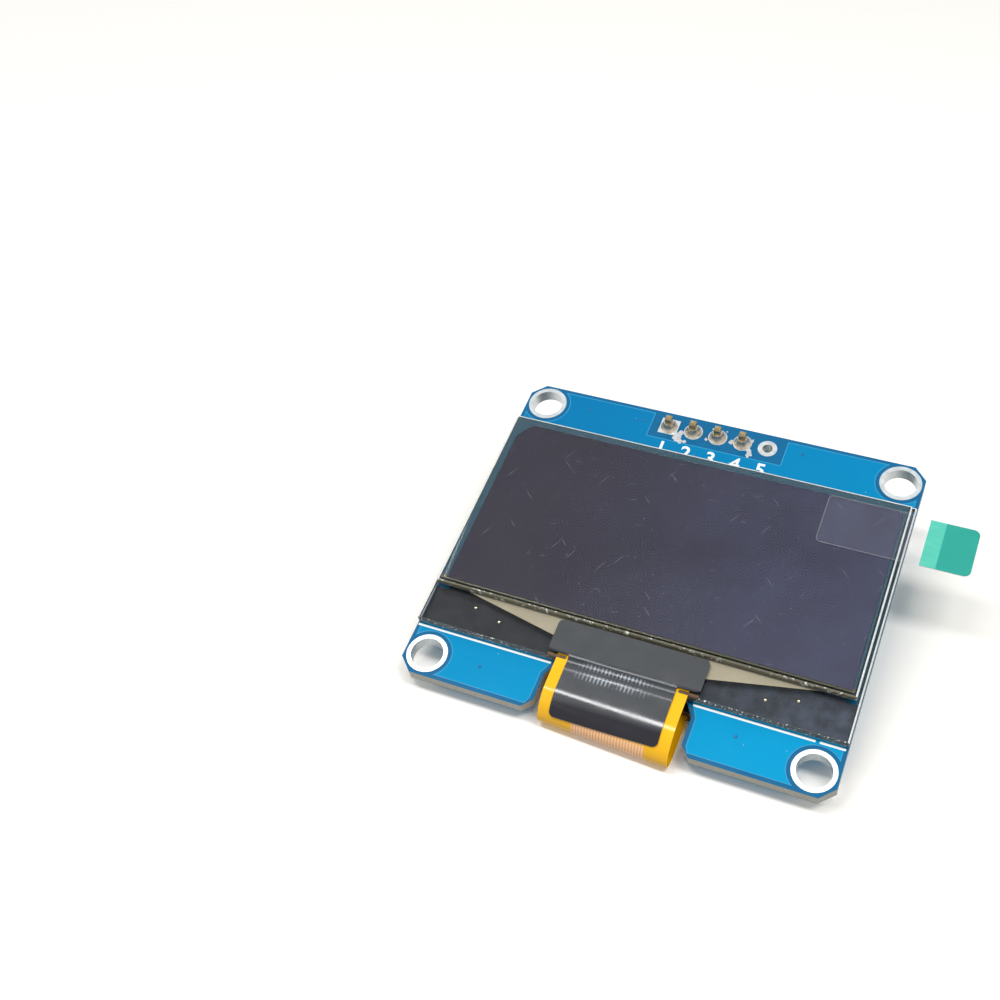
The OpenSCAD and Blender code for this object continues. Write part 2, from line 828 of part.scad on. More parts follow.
// Sliding lock: a bar with the flex slot and an arm along each side
module zif_slider() {
    bar_w = zif_w + 2 * slider_ear;
    front = zif_front - slider_gap - slider_d;
    color("#3B332E") {
        difference() {
            block([-bar_w / 2, front, back_z - zif_h + slider_relief],
                  [bar_w / 2, zif_front - slider_gap, back_z - 2 * slider_relief]);
            block([-slot_w / 2, front - over, slot_z - slot_h / 2],
                  [slot_w / 2, zif_front + over, slot_z + slot_h / 2]);
        }
        for (side = [-1, 1])
            translate([side * (zif_w / 2 + slider_gap), 0, 0])
                block([-arm_w, zif_front - 2 * slider_gap, slot_z - arm_h / 2 + slider_gap],
                      [arm_w, zif_front + slot_d - arm_w, slot_z + arm_h / 2 - slider_gap]);
    }
}

// Bent contacts: each leaves the housing, goes down and lies on its pad
module zif_contacts() {
    color("#D9C27A")
        for (i = [0 : contact_count - 1])
            translate([(i - (contact_count - 1) / 2) * contact_pitch, 0, 0]) {
                block([-contact_w / 2, zif_back, back_z - contact_t],
                      [contact_w / 2, zif_back + tail_len, back_z]);
                block([-contact_w / 2, zif_back, back_z - contact_rise],
                      [contact_w / 2, zif_back + contact_t, back_z - contact_t]);
            }
}

module zif_anchors() {
    color("#C9CCCB")
        for (side = [-1, 1])
            translate([side * (zif_w / 2 + anchor_w / 2), zif_back - 0.75 * anchor_w, 0])
                block([-anchor_w / 2, -anchor_w / 2, back_z - anchor_t],
                      [anchor_w / 2, anchor_w / 2, back_z]);
}

// ---- Small rear parts ----

// Middle part of a chip component that lies along y
module chip_middle(t) {
    block([-chip_part_w / 2, -chip_part_l / 2 + end_cap, back_z - t],
          [chip_part_w / 2, chip_part_l / 2 - end_cap, back_z]);
}

// Metal ends of a chip component that lies along y
module chip_ends(t) {
    for (side = [0, 1])
        mirror([0, side, 0])
            block([-chip_part_w / 2, chip_part_l / 2 - end_cap, back_z - t],
                  [chip_part_w / 2, chip_part_l / 2, back_z]);
}

module at_capacitors() {
    for (i = [0 : capacitor_count - 1])
        translate([(i - (capacitor_count - 1) / 2) * capacitor_pitch, capacitor_y, 0])
            children();
}

module at_resistors() {
    for (i = [0 : resistor_count - 1])
        translate([(i - (resistor_count - 1) / 2) * resistor_pitch, resistor_y, 0])
            children();
}

module capacitor_bodies() {
    color("#B08D62")
        at_capacitors()
            chip_middle(capacitor_t);
}

module capacitor_caps() {
    color("#C9CCCB")
        at_capacitors()
            chip_ends(capacitor_t);
}

module resistor_bodies() {
    color("#1F2022")
        at_resistors()
            chip_middle(resistor_t);
}

module resistor_caps() {
    color("#C9CCCB")
        at_resistors()
            chip_ends(resistor_t);
}

// Voltage regulator with two leads on one side and one on the other
module regulator_body() {
    color("#232427")
        translate([side_parts_x, resistor_y, 0])
            block([-regulator_l / 2, -regulator_w / 2, back_z - regulator_t],
                  [regulator_l / 2, regulator_w / 2, back_z - body_lift]);
}

// Bent lead that leaves a body and lands on the board, towards +y
module bent_lead(w, out, rise) {
    block([-w / 2, 0, back_z - rise], [w / 2, lead_t, back_z - lead_t]);
    block([-w / 2, 0, back_z - lead_t], [w / 2, out, back_z]);
}

module regulator_leads() {
    color("#C9CCCB")
        translate([side_parts_x, resistor_y, 0]) {
            translate([0, regulator_w / 2, 0])
                bent_lead(regulator_lead_w, lead_out, regulator_t / 2);
            for (side = [-1, 1])
                translate([side * regulator_lead_pitch / 2, -regulator_w / 2, 0])
                    mirror([0, 1, 0])
                        bent_lead(regulator_lead_w, lead_out, regulator_t / 2);
        }
}

module diode_body() {
    color("#232427")
        translate([-side_parts_x, resistor_y, 0])
            block([-diode_w / 2, -diode_l / 2, back_z - regulator_t],
                  [diode_w / 2, diode_l / 2, back_z - body_lift]);
}

module diode_leads() {
    color("#C9CCCB")
        translate([-side_parts_x, resistor_y, 0])
            for (side = [0, 1])
                mirror([0, side, 0])
                    translate([0, diode_l / 2, 0])
                        bent_lead(diode_lead_w, lead_out, regulator_t / 2);
}

pcb();
mounting_rings();
header_pads();
header_solder();
connector_pins();
cable_connector();
foam_tape();
lower_glass();
pixel_layer();
track_fan();
edge_seal();
cap_glass();
polariser();
protective_film();
pull_tape();
tab_flag();
driver_chip();
bond_glue();
flex_circuit();
cover_tape();
zif_housing();
zif_slider();
zif_contacts();
zif_anchors();
capacitor_bodies();
capacitor_caps();
resistor_bodies();
resistor_caps();
regulator_body();
regulator_leads();
diode_body();
diode_leads();
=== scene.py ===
"""Looks of a small OLED display module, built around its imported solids.

Lengths are in millimetres in the row frame, and SCALE turns them to metres.
"""

import logging
import math
import random
from collections.abc import Callable, Iterable
from dataclasses import dataclass, field
from enum import Enum
from functools import cached_property
from typing import Any

import bmesh
import bpy
from mathutils import Matrix, Vector


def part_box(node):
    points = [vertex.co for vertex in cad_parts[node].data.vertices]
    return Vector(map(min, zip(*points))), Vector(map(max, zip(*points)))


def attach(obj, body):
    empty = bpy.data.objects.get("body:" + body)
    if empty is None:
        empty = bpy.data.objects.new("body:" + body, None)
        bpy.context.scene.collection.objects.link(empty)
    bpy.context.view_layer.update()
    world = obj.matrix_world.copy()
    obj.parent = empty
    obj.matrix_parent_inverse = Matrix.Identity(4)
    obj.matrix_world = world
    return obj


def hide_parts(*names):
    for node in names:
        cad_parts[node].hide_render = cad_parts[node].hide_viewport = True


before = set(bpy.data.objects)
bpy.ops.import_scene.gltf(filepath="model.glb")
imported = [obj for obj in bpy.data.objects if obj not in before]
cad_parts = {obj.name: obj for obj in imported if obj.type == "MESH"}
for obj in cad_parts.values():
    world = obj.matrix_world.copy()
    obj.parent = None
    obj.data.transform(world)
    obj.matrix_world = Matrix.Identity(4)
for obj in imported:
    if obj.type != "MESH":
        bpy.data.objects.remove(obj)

SCALE = 0.001
FAR = 1e3  # a limit beyond the module, for a band that is open on one side
FLAT = 0.95  # a face whose normal has more of z than this lies flat
QUARTERS = tuple((sx, sy) for sx in (-1, 1) for sy in (-1, 1))
log = logging.getLogger("display_module")

Thing = bpy.types.Object
Pair = tuple[float, float]
Point = tuple[float, float, float]
Paint = tuple[float, float, float, float]


def linear(code: str) -> Paint:
    """Turns a colour written for the eye into the linear light a shader needs.

    Args:
        code: sRGB colour as "#RRGGBB".

    Returns:
        Linear red, green, blue and an alpha of one.
    """
    parts = [int(code[i : i + 2], 16) / 255 for i in (1, 3, 5)]
    r, g, b = (c / 12.92 if c <= 0.04045 else ((c + 0.055) / 1.055) ** 2.4 for c in parts)
    return r, g, b, 1.0


def scaled(paint: Paint, share: float) -> Paint:
    """Returns a colour made darker or lighter by a share of its light."""
    return (*(min(1.0, c * share) for c in paint[:3]), 1.0)


def limits(node: str) -> tuple[Vector, Vector]:
    """Returns the lowest and highest corner of a CAD node in millimetres."""
    low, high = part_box(node)
    return low / SCALE, high / SCALE


def upright(edge: bmesh.types.BMEdge) -> bool:
    """Says whether an edge runs from a lower to a higher level."""
    return abs(edge.verts[0].co.z - edge.verts[1].co.z) > 1e-6


# ---- Finishes ----


class Skin:
    """Node tree of a material or of the room, with the patterns that are drawn in it."""

    def __init__(self, holder: bpy.types.Material | bpy.types.World) -> None:
        """Starts with the empty tree of a material or a world."""
        holder.use_nodes = True
        self.tree = holder.node_tree
        self.tree.nodes.clear()

    @cached_property
    def coordinates(self) -> Any:
        """The outputs of the tree's one coordinate node."""
        return self.add("TexCoord").outputs

    @cached_property
    def place(self) -> Any:
        """The socket with the place in millimetres."""
        spot = {"Vector": self.coordinates["Object"], "Scale": (1 / SCALE,) * 3}
        return self.add("Mapping", spot).outputs[0]

    @cached_property
    def axes(self) -> Any:
        """The sockets with the place's x, y and z."""
        return self.add("SeparateXYZ", {0: self.place}).outputs

    def add(
        self, kind: str, inputs: dict[Any, Any] | None = None, **settings: Any
    ) -> bpy.types.Node:
        """Adds a node with its settings, its values and its links.

        Args:
            kind: Blender's name for the node, without its "ShaderNode" start.
            inputs: Input name or number to a value, to a colour as sRGB hex, or to the
                socket that feeds it.
            settings: Properties set on the node itself.

        Returns:
            The new node.
        """
        made = self.tree.nodes.new("ShaderNode" + kind)
        for key, value in settings.items():
            setattr(made, key, value)
        for key, value in (inputs or {}).items():
            if isinstance(value, bpy.types.NodeSocket):
                self.tree.links.new(value, made.inputs[key])
            else:
                plain = linear(value) if isinstance(value, str) else value
                made.inputs[key].default_value = plain
        return made

    def merge(self, *shares: Any, operation: str = "MULTIPLY") -> Any:
        """Joins several shares into one.

        Args:
            shares: The first is a socket, the others sockets or numbers.
            operation: How each is joined to what comes before it.

        Returns:
            The socket with the joined share.
        """
        total, *rest = shares
        for share in rest:
            total = self.add("Math", {0: total, 1: share}, operation=operation).outputs[0]
        return total

    def coats(self, ground: Any, *layers: tuple[Any, Any]) -> Any:
        """Lays colours over one another.

        Args:
            ground: The lowest colour, as a socket or as sRGB hex.
            layers: Pairs of the share covered and the colour that covers it.

        Returns:
            The socket with the colour that shows.
        """
        for share, colour in layers:
            mix = self.add("Mix", {0: share, 6: ground, 7: colour}, data_type="RGBA")
            ground = mix.outputs[2]
        return ground

    def band(self, value: Any, low: float, high: float, soft: float = 1e-4) -> Any:
        """Gives one where a value lies between two limits and zero elsewhere.

        Args:
            value: The socket to test.
            low: Lower limit.
            high: Upper limit.
            soft: Half the width of the smooth step at each limit.

        Returns:
            The socket with the share from zero to one.
        """
        rise = self.add("MapRange", {0: value, 1: low - soft, 2: low + soft})
        fall = self.add("MapRange", {0: value, 1: high - soft, 2: high + soft, 3: 1.0, 4: 0.0})
        return self.merge(rise.outputs[0], fall.outputs[0])

    def stripes(
        self, value: Any, pitch: float, low: float = -1.0, high: float = 1.0, most: float = 1.0
    ) -> Any:
        """Draws even stripes along a value.

        Args:
            value: The socket that the stripes follow.
            pitch: Distance from one stripe to the next.
            low: Height of the wave, between -1 and 1, where a stripe begins.
            high: Height of the wave where it is full.
            most: Share of a full stripe.

        Returns:
            The socket with the share.
        """
        turns = self.merge(value, 2 * math.pi / pitch)
        wave = self.add("Math", {0: turns}, operation="SINE").outputs[0]
        return self.add("MapRange", {0: wave, 1: low, 2: high, 4: most}).outputs[0]

    def clouds(
        self, scale: float, span: Pair, give: Pair = (0.0, 1.0), detail: float = 3.0,
        place: Any = None,
    ) -> Any:
        """Draws ragged patches with soft edges.

        Args:
            scale: Patches per millimetre.
            span: Heights of the noise where a patch begins and where it is full.
            give: What it gives outside and inside a patch.
            detail: How ragged a patch is.
            place: Socket with the place, where it isn't the plain one.

        Returns:
            The socket with the value.
        """
        where = self.place if place is None else place
        noise = self.add("TexNoise", {"Vector": where, "Scale": scale, "Detail": detail})
        ends = dict(enumerate((noise.outputs[0], *span, *give)))
        return self.add("MapRange", ends).outputs[0]

    def spots(self, place: Any, radius: float, share: float, scale: float = 1.0) -> Any:
        """Draws a spot in some of the cells of a Voronoi pattern.

        Args:
            place: Socket with the place, stretched where the spots are long.
            radius: The spot's radius as a share of the cell.
            share: Share of the cells that keep their spot.
            scale: Cells per unit of the place.

        Returns:
            The socket with one in the spots and zero elsewhere.
        """
        grid = {"Vector": place, "Scale": scale}
        cells = self.add("TexVoronoi", grid, voronoi_dimensions="2D").outputs
        draw = self.add("SeparateColor", {0: cells["Color"]}).outputs[0]
        spot = self.band(cells["Distance"], -1.0, radius, 0.3 * radius)
        return self.merge(spot, self.band(draw, -1.0, share))


@dataclass(frozen=True)
class Finish:
    """A real material and the surface that its making left on it."""

    name: str
    colour: str
    roughness: float
    metallic: float = 0.0
    ior: float = 1.5
    mottle: float = 0.08  # share by which the colour varies over the surface
    mottle_mm: float = 2.0  # width of the lighter and darker patches
    grain_um: float = 2.0  # height of the fine relief
    grain_mm: float = 0.15  # width of the fine relief
    transmission: float = 0.0
    cover: float = 1.0  # share of what lies behind that a clear sheet hides
    subsurface_mm: float = 0.0
    subsurface: float = 0.35  # share of the light that goes in, where any does

    def build(self) -> bpy.types.Material:
        """Makes the material.

        Returns:
            The finished material.
        """
        made = bpy.data.materials.new(self.name)
        skin = Skin(made)
        shader = skin.add(
            "BsdfPrincipled",
            {
                "Base Color": self.paint(skin),
                "Roughness": self.polish(skin),
                "Specular IOR Level": self.gloss(skin),
                "Metallic": self.metallic,
                "Normal": self.relief(skin),
                "Transmission Weight": self.transmission,
                "Alpha": self.cover,
            },
        )
        if not self.metallic:
            shader.inputs["IOR"].default_value = self.ior
        if self.subsurface_mm:
            shader.inputs["Subsurface Weight"].default_value = self.subsurface
            shader.inputs["Subsurface Scale"].default_value = self.subsurface_mm * SCALE
        skin.add("OutputMaterial", {"Surface": shader.outputs[0]})
        return made

    def paint(self, skin: Skin) -> Any:
        """Returns the colour's socket: the plain colour in soft patches."""
        return self.patches(skin)

    def patches(self, skin: Skin) -> Any:
        """Varies the plain colour in soft patches.

        Args:
            skin: The material's tree.

        Returns:
            The colour socket, or the colour itself where it is the same all over.
        """
        base = linear(self.colour)
        if not self.mottle:
            return base
        size = 1 / self.mottle_mm
        ragged = {"Vector": skin.place, "Scale": size, "Detail": 4.0, "Roughness": 0.6}
        cloud = skin.add("TexNoise", ragged).outputs[0]
        dark, light = (scaled(base, 1 + side * 2 * self.mottle) for side in (-1, 1))
        return skin.coats(dark, (cloud, light))

    def polish(self, skin: Skin) -> Any:
        """Returns the roughness, a little uneven as a handled surface is."""
        ends = (self.roughness * 0.8, self.roughness * 1.25)
        return skin.clouds(0.7 / self.mottle_mm, (0.3, 0.7), ends)

    def gloss(self, skin: Skin) -> Any:
        """Returns the reflection's strength: one half is what the IOR gives."""
        return 0.5

    def relief(self, skin: Skin) -> Any:
        """Returns the bumped normal of the fine relief.

        Args:
            skin: The material's tree.

        Returns:
            The normal's socket.
        """
        fine = {"Vector": skin.place, "Scale": 1 / self.grain_mm, "Detail": 5.0, "Roughness": 0.55}
        grain = skin.add("TexNoise", fine).outputs[0]
        depth = self.grain_um * 1e-6
        return skin.add("Bump", {"Height": grain, "Distance": depth, "Strength": 1.0}).outputs[0]


@dataclass(frozen=True)
class BoardMask(Finish):
    """Blue solder mask over bare laminate, with the milled glass-fibre edge of the board."""

    resin: str = "#A39D8A"
    edge: str = "#D6D6CA"
    weave: str = "#8E8A74"
    lip: str = "#2C7C9E"
    fibre_mm: float = 0.12  # thickness of one woven glass layer seen in the edge
    crumbs: float = 6.0  # torn fibre ends per millimetre
    thickness_mm: float = 1.2
    lip_mm: float = 0.07  # height of the mask that laps over the edge

    def paint(self, skin: Skin) -> Any:
        """Puts the mask's blue on the faces and pale fibre layers in the milled edge.

        Args:
            skin: The material's tree.

        Returns:
            The colour socket.
        """
        z = skin.axes[2]
        facing = skin.add("SeparateXYZ", {0: skin.coordinates["Normal"]}).outputs[2]
        flat = skin.add("Math", {0: facing}, operation="ABSOLUTE").outputs[0]
        torn = {"Vector": skin.place, "Scale": self.crumbs, "Detail": 6.0}
        crumbs = skin.add("TexNoise", torn).outputs[0]
        weave = skin.stripes(z, self.fibre_mm, most=0.35)
        fibre = skin.coats(self.resin, (crumbs, self.edge), (weave, self.weave))
        bare = skin.band(z, self.lip_mm - self.thickness_mm, -self.lip_mm, 0.02)
        edge = skin.coats(self.lip, (bare, fibre))
        return skin.coats(self.patches(skin), (skin.band(flat, -1.0, 0.5), edge))


@dataclass(frozen=True)
class DustyMaskWithPaintedShade(Finish):
    """Blue solder mask over copper: glossy, slightly wavy, with a few specks of dust and painted
    shade towards the upper left.
    """

    speck: str = "#A8D4E8"
    speck_mm: float = 0.035  # radius of a speck
    speck_share: float = 0.15
    spacing_mm: float = 1.7  # mean distance between the places that may hold a speck
    thick: str = "#0072A6"  # painted shade: the deeper blue towards the upper left corner
    shade_way: Pair = (-0.6, 1.0)  # the way in which the painted shade deepens
    shade_reach: float = 26.0

    def paint(self, skin: Skin) -> Any:
        """Paints shade that deepens the blue to one corner and lays specks of pale dust on it.

        Args:
            skin: The material's tree.

        Returns:
            The colour socket.
        """
        size = self.speck_mm / self.spacing_mm
        dust = skin.spots(skin.place, size, self.speck_share, 1 / self.spacing_mm)
        # Painted shade: the blue deepens towards the upper left.
        way = {0: skin.place, 1: (*self.shade_way, 0)}
        along = skin.add("VectorMath", way, operation="DOT_PRODUCT").outputs["Value"]
        ends = {0: along, 1: -self.shade_reach, 2: self.shade_reach}
        build = skin.add("MapRange", ends).outputs[0]
        return skin.coats(self.patches(skin), (build, self.thick), (dust, self.speck))


@dataclass(frozen=True)
class TrackFan(Finish):
    """Thin-film metal tracks that gather from the display to the driver chip."""

    gap: str = "#5E5A4C"
    lines: float = 70.0  # tracks on each side of the middle, drawn as coarse as shows
    wide_y: float = -8.3
    wide: float = 18.2
    close_y: float = -10.7
    close: float = 6.3

    def paint(self, skin: Skin) -> Any:
        """Draws pale tracks with dark gaps that run towards the chip.

        Args:
            skin: The material's tree.

        Returns:
            The colour socket.
        """
        x, y, _ = skin.axes
        fan = {0: y, 1: self.close_y, 2: self.wide_y, 3: self.close, 4: self.wide}
        half = skin.add("MapRange", fan, clamp=False).outputs[0]
        line = skin.stripes(skin.merge(x, half, operation="DIVIDE"), 1 / self.lines, -0.9, 0.2)
        return skin.coats(self.gap, (line, self.patches(skin)))


@dataclass(frozen=True)
class LeadBand(Finish):
    """The band of tracks under the cap's lower margin, with glints where they meet the seal."""

    gap: str = "#66634C"
    track_mm: float = 0.2
    glint: str = "#F2F0DA"
    glint_mm: float = 0.55
    glint_y: Pair = (-7.95, -7.72)

    def paint(self, skin: Skin) -> Any:
        """Draws olive tracks with a broken row of glints.

        Args:
            skin: The material's tree.

        Returns:
            The colour socket.
        """
        x, y, _ = skin.axes
        tracks = skin.stripes(x, self.track_mm)
        along = skin.add("CombineXYZ", {0: x}).outputs[0]
        dash = skin.clouds(1 / self.glint_mm, (0.5, 0.62), detail=2.0, place=along)
        row = skin.merge(skin.band(y, *self.glint_y, 0.05), dash)
        return skin.coats(self.gap, (tracks, self.patches(skin)), (row, self.glint))


@dataclass(frozen=True)
class GroundEdge(Finish):
    """Frosted glass edge with the bright chips that scribing leaves."""

    chip: str = "#F4F8F0"
    chip_mm: float = 0.35  # mean distance between chips

    def paint(self, skin: Skin) -> Any:
        """Returns the frosted tone with scattered bright chips."""
        chips = skin.clouds(1 / self.chip_mm, (0.6, 0.68))
        return skin.coats(self.patches(skin), (chips, self.chip))


@dataclass(frozen=True)
class DisplayFace(Finish):
    """Dark polariser over the unlit display, with a painted blue sheen towards one side and
    hairline scratches.
    """

    # Painted sheen: the blue that the polariser shows towards one side.
    sheen_tint: str = "#474C6E"
    sheen_x: Pair = (-12.0, 16.0)
    sheen_clouds: float = 0.16  # clouds of the painted sheen per millimetre
    scratch: str = "#AAA8BC"
    strength: float = 0.4
    # Each lay of hairlines or dust: its turn, the width and length of a cell in
    # millimetres, the mark's radius as a share of the cell, and the share of cells marked
    marks: tuple[tuple[float, float, float, float, float], ...] = (
        (0.5, 0.6, 16.0, 0.04, 0.2), (-0.8, 0.7, 14.0, 0.038, 0.2),
        (1.3, 0.6, 9.0, 0.04, 0.14), (0.0, 0.8, 0.8, 0.045, 0.4),
        (0.3, 1.7, 1.7, 0.035, 0.4), (0.7, 3.0, 7.0, 0.016, 0.5),
    )

    def paint(self, skin: Skin) -> Any:
        """Draws near-black with a painted blue sheen drifting to one side, hairlines and specks.

        Args:
            skin: The material's tree.

        Returns:
            The colour socket.
        """
        start, end = self.sheen_x
        drift = skin.add("MapRange", {0: skin.axes[0], 1: start, 2: end}).outputs[0]
        ragged = {"Vector": skin.place, "Scale": self.sheen_clouds, "Detail": 5.0, "Roughness": 0.65}
        cloud = skin.add("TexNoise", ragged).outputs[0]
        base = skin.coats(self.patches(skin), (skin.merge(drift, cloud), self.sheen_tint))
        for turn, wide, long, radius, share in self.marks:
            way = {"Vector": skin.place, "Rotation": (0, 0, turn)}
            cell = {"Vector": skin.add("Mapping", way).outputs[0], "Scale": (1 / wide, 1 / long, 1)}
            drawn = skin.spots(skin.add("Mapping", cell).outputs[0], radius, share)
            base = skin.coats(base, (skin.merge(drawn, self.strength), self.scratch))
        return base


@dataclass(frozen=True)
class FoamWithPaintedReflection(Finish):
    """Black foam behind glass, with a painted blue-grey reflection that clouds it towards one side.
    """

    # Painted reflection: blue-grey clouds over the black foam towards one side.
    sheen_clouds: str = "#56647A"
    reflection_x: Pair = (-2.0, 18.0)

    def paint(self, skin: Skin) -> Any:
        """Lays the painted reflection, in clouds, over the black.

        Args:
            skin: The material's tree.

        Returns:
            The colour socket.
        """
        start, end = self.reflection_x
        drift = skin.add("MapRange", {0: skin.axes[0], 1: start, 2: end}).outputs[0]
        painted_light_clouds = skin.clouds(0.7, (0.35, 0.65), (0.25, 1.0), 4.0)
        return skin.coats(self.patches(skin), (skin.merge(drift, painted_light_clouds), self.sheen_clouds))


@dataclass(frozen=True)
class MarginFilm(Finish):
    """Clear margin of the display, blue-grey over the board and olive over the tracks."""

    olive: str = "#6F6D58"
    olive_y: float = -7.9

    def paint(self, skin: Skin) -> Any:
        """Returns the blue-grey with the olive strip along the lower edge."""
        low = skin.band(skin.axes[1], -FAR, self.olive_y, 0.1)
        return skin.coats(self.patches(skin), (low, self.olive))


@dataclass(frozen=True)
class FlexFilm(Finish):
    """Amber polyimide with the copper tracks inside it, which show where the fold turns under."""

    copper: str = "#F2AE74"
    gap: str = "#FFD2A2"
    pitch_mm: float = 0.28
    tracks_x: Pair = (-2.9, 4.0)
    shown_z: Pair = (-2.4, 0.15)

    def paint(self, skin: Skin) -> Any:
        """Draws a comb of copper lines low on the amber fold.

        Args:
            skin: The material's tree.

        Returns:
            The colour socket.
        """
        x, _, z = skin.axes
        tracks = skin.coats(self.gap, (skin.stripes(x, self.pitch_mm, -0.4, 0.4), self.copper))
        inside = skin.merge(skin.band(x, *self.tracks_x, 0.05), skin.band(z, *self.shown_z, 0.25))
        return skin.coats(self.patches(skin), (inside, tracks))


@dataclass(frozen=True)
class CoverFilm(Finish):
    """Lacquered cover tape: dusty on its head, darker on its turn by painted shade, with painted
    highlights on the ripples between.
    """

    # Painted shade: the darker colour of the tape's turn.
    turn_shade: str = "#181722"
    turn_y: float = -16.55
    turn_soft: float = 0.25
    step_y: Pair = (-12.95, -12.0)
    # Painted highlights: a pale comb over the ripples above the contacts.
    ripple_highlight: str = "#8D98A4"
    ripple_highlight_mm: float = 0.36
    ripple_highlight_x: Pair = (-3.6, 2.6)
    ripple_highlight_rows: tuple[Pair, ...] = ((-12.75, 0.22), (-13.75, 0.32))  # middle and half width

    def paint(self, skin: Skin) -> Any:
        """Draws the tape's grey, painted shade on its turn and a comb of painted highlights on the
        ripples over the contacts.

        Args:
            skin: The material's tree.

        Returns:
            The colour socket.
        """
        x, y, _ = skin.axes
        turned = skin.band(y, -FAR, self.turn_y, self.turn_soft)
        base = skin.coats(self.patches(skin), (turned, self.turn_shade))
        comb = skin.stripes(x, self.ripple_highlight_mm, -0.2, 0.8, 0.95)
        painted_light_clouds = skin.clouds(0.9, (0.3, 0.5))
        comb = skin.merge(comb, painted_light_clouds, skin.band(x, *self.ripple_highlight_x, 0.6))
        for middle, half in self.ripple_highlight_rows:
            row = skin.merge(skin.band(y, middle - half, middle + half, 0.15), comb)
            base = skin.coats(base, (row, self.ripple_highlight))
        return base

    def gloss(self, skin: Skin) -> Any:
        """Weakens the reflection on the step below the head and on the turn.

        Args:
            skin: The material's tree.

        Returns:
            The socket with the reflection's strength.
        """
        y = skin.axes[1]
        turned = skin.band(y, -FAR, self.turn_y, self.turn_soft)
        dull = skin.merge(turned, skin.band(y, *self.step_y, 0.12), operation="MAXIMUM")
        return skin.add("MapRange", {0: dull, 3: 0.5, 4: 0.2}).outputs[0]


@dataclass(frozen=True)
class FlagFilm(Finish):
    """Green film of the pull tab: a pale strip and then the full colour."""

    pale: str = "#63D0B8"
    wisp: str = "#2FB79E"
    change_x: float = 23.3

    def paint(self, skin: Skin) -> Any:
        """Puts wisps of pale green on one side of the change and the full green on the other.

        Args:
            skin: The material's tree.

        Returns:
            The colour socket.
        """
        long = {"Vector": skin.place, "Scale": (0.4, 5.0, 1.0)}
        streaks = skin.add("Mapping", long).outputs[0]
        wisp = skin.add("TexNoise", {"Vector": streaks, "Scale": 1.0, "Detail": 3.0}).outputs[0]
        full = skin.band(skin.axes[0], self.change_x, FAR, 0.04)
        return skin.coats(self.wisp, (wisp, self.pale), (full, self.patches(skin)))


@dataclass(frozen=True)
class Solder(Finish):
    """Hand-soldered tin with a burnt flux film in its hollows."""

    flux: str = "#8C7A55"

    def paint(self, skin: Skin) -> Any:
        """Returns bright tin with patches of brown flux."""
        stain = skin.clouds(2.6, (0.52, 0.72), (0.0, 0.8), 4.0)
        return skin.coats(self.patches(skin), (stain, self.flux))


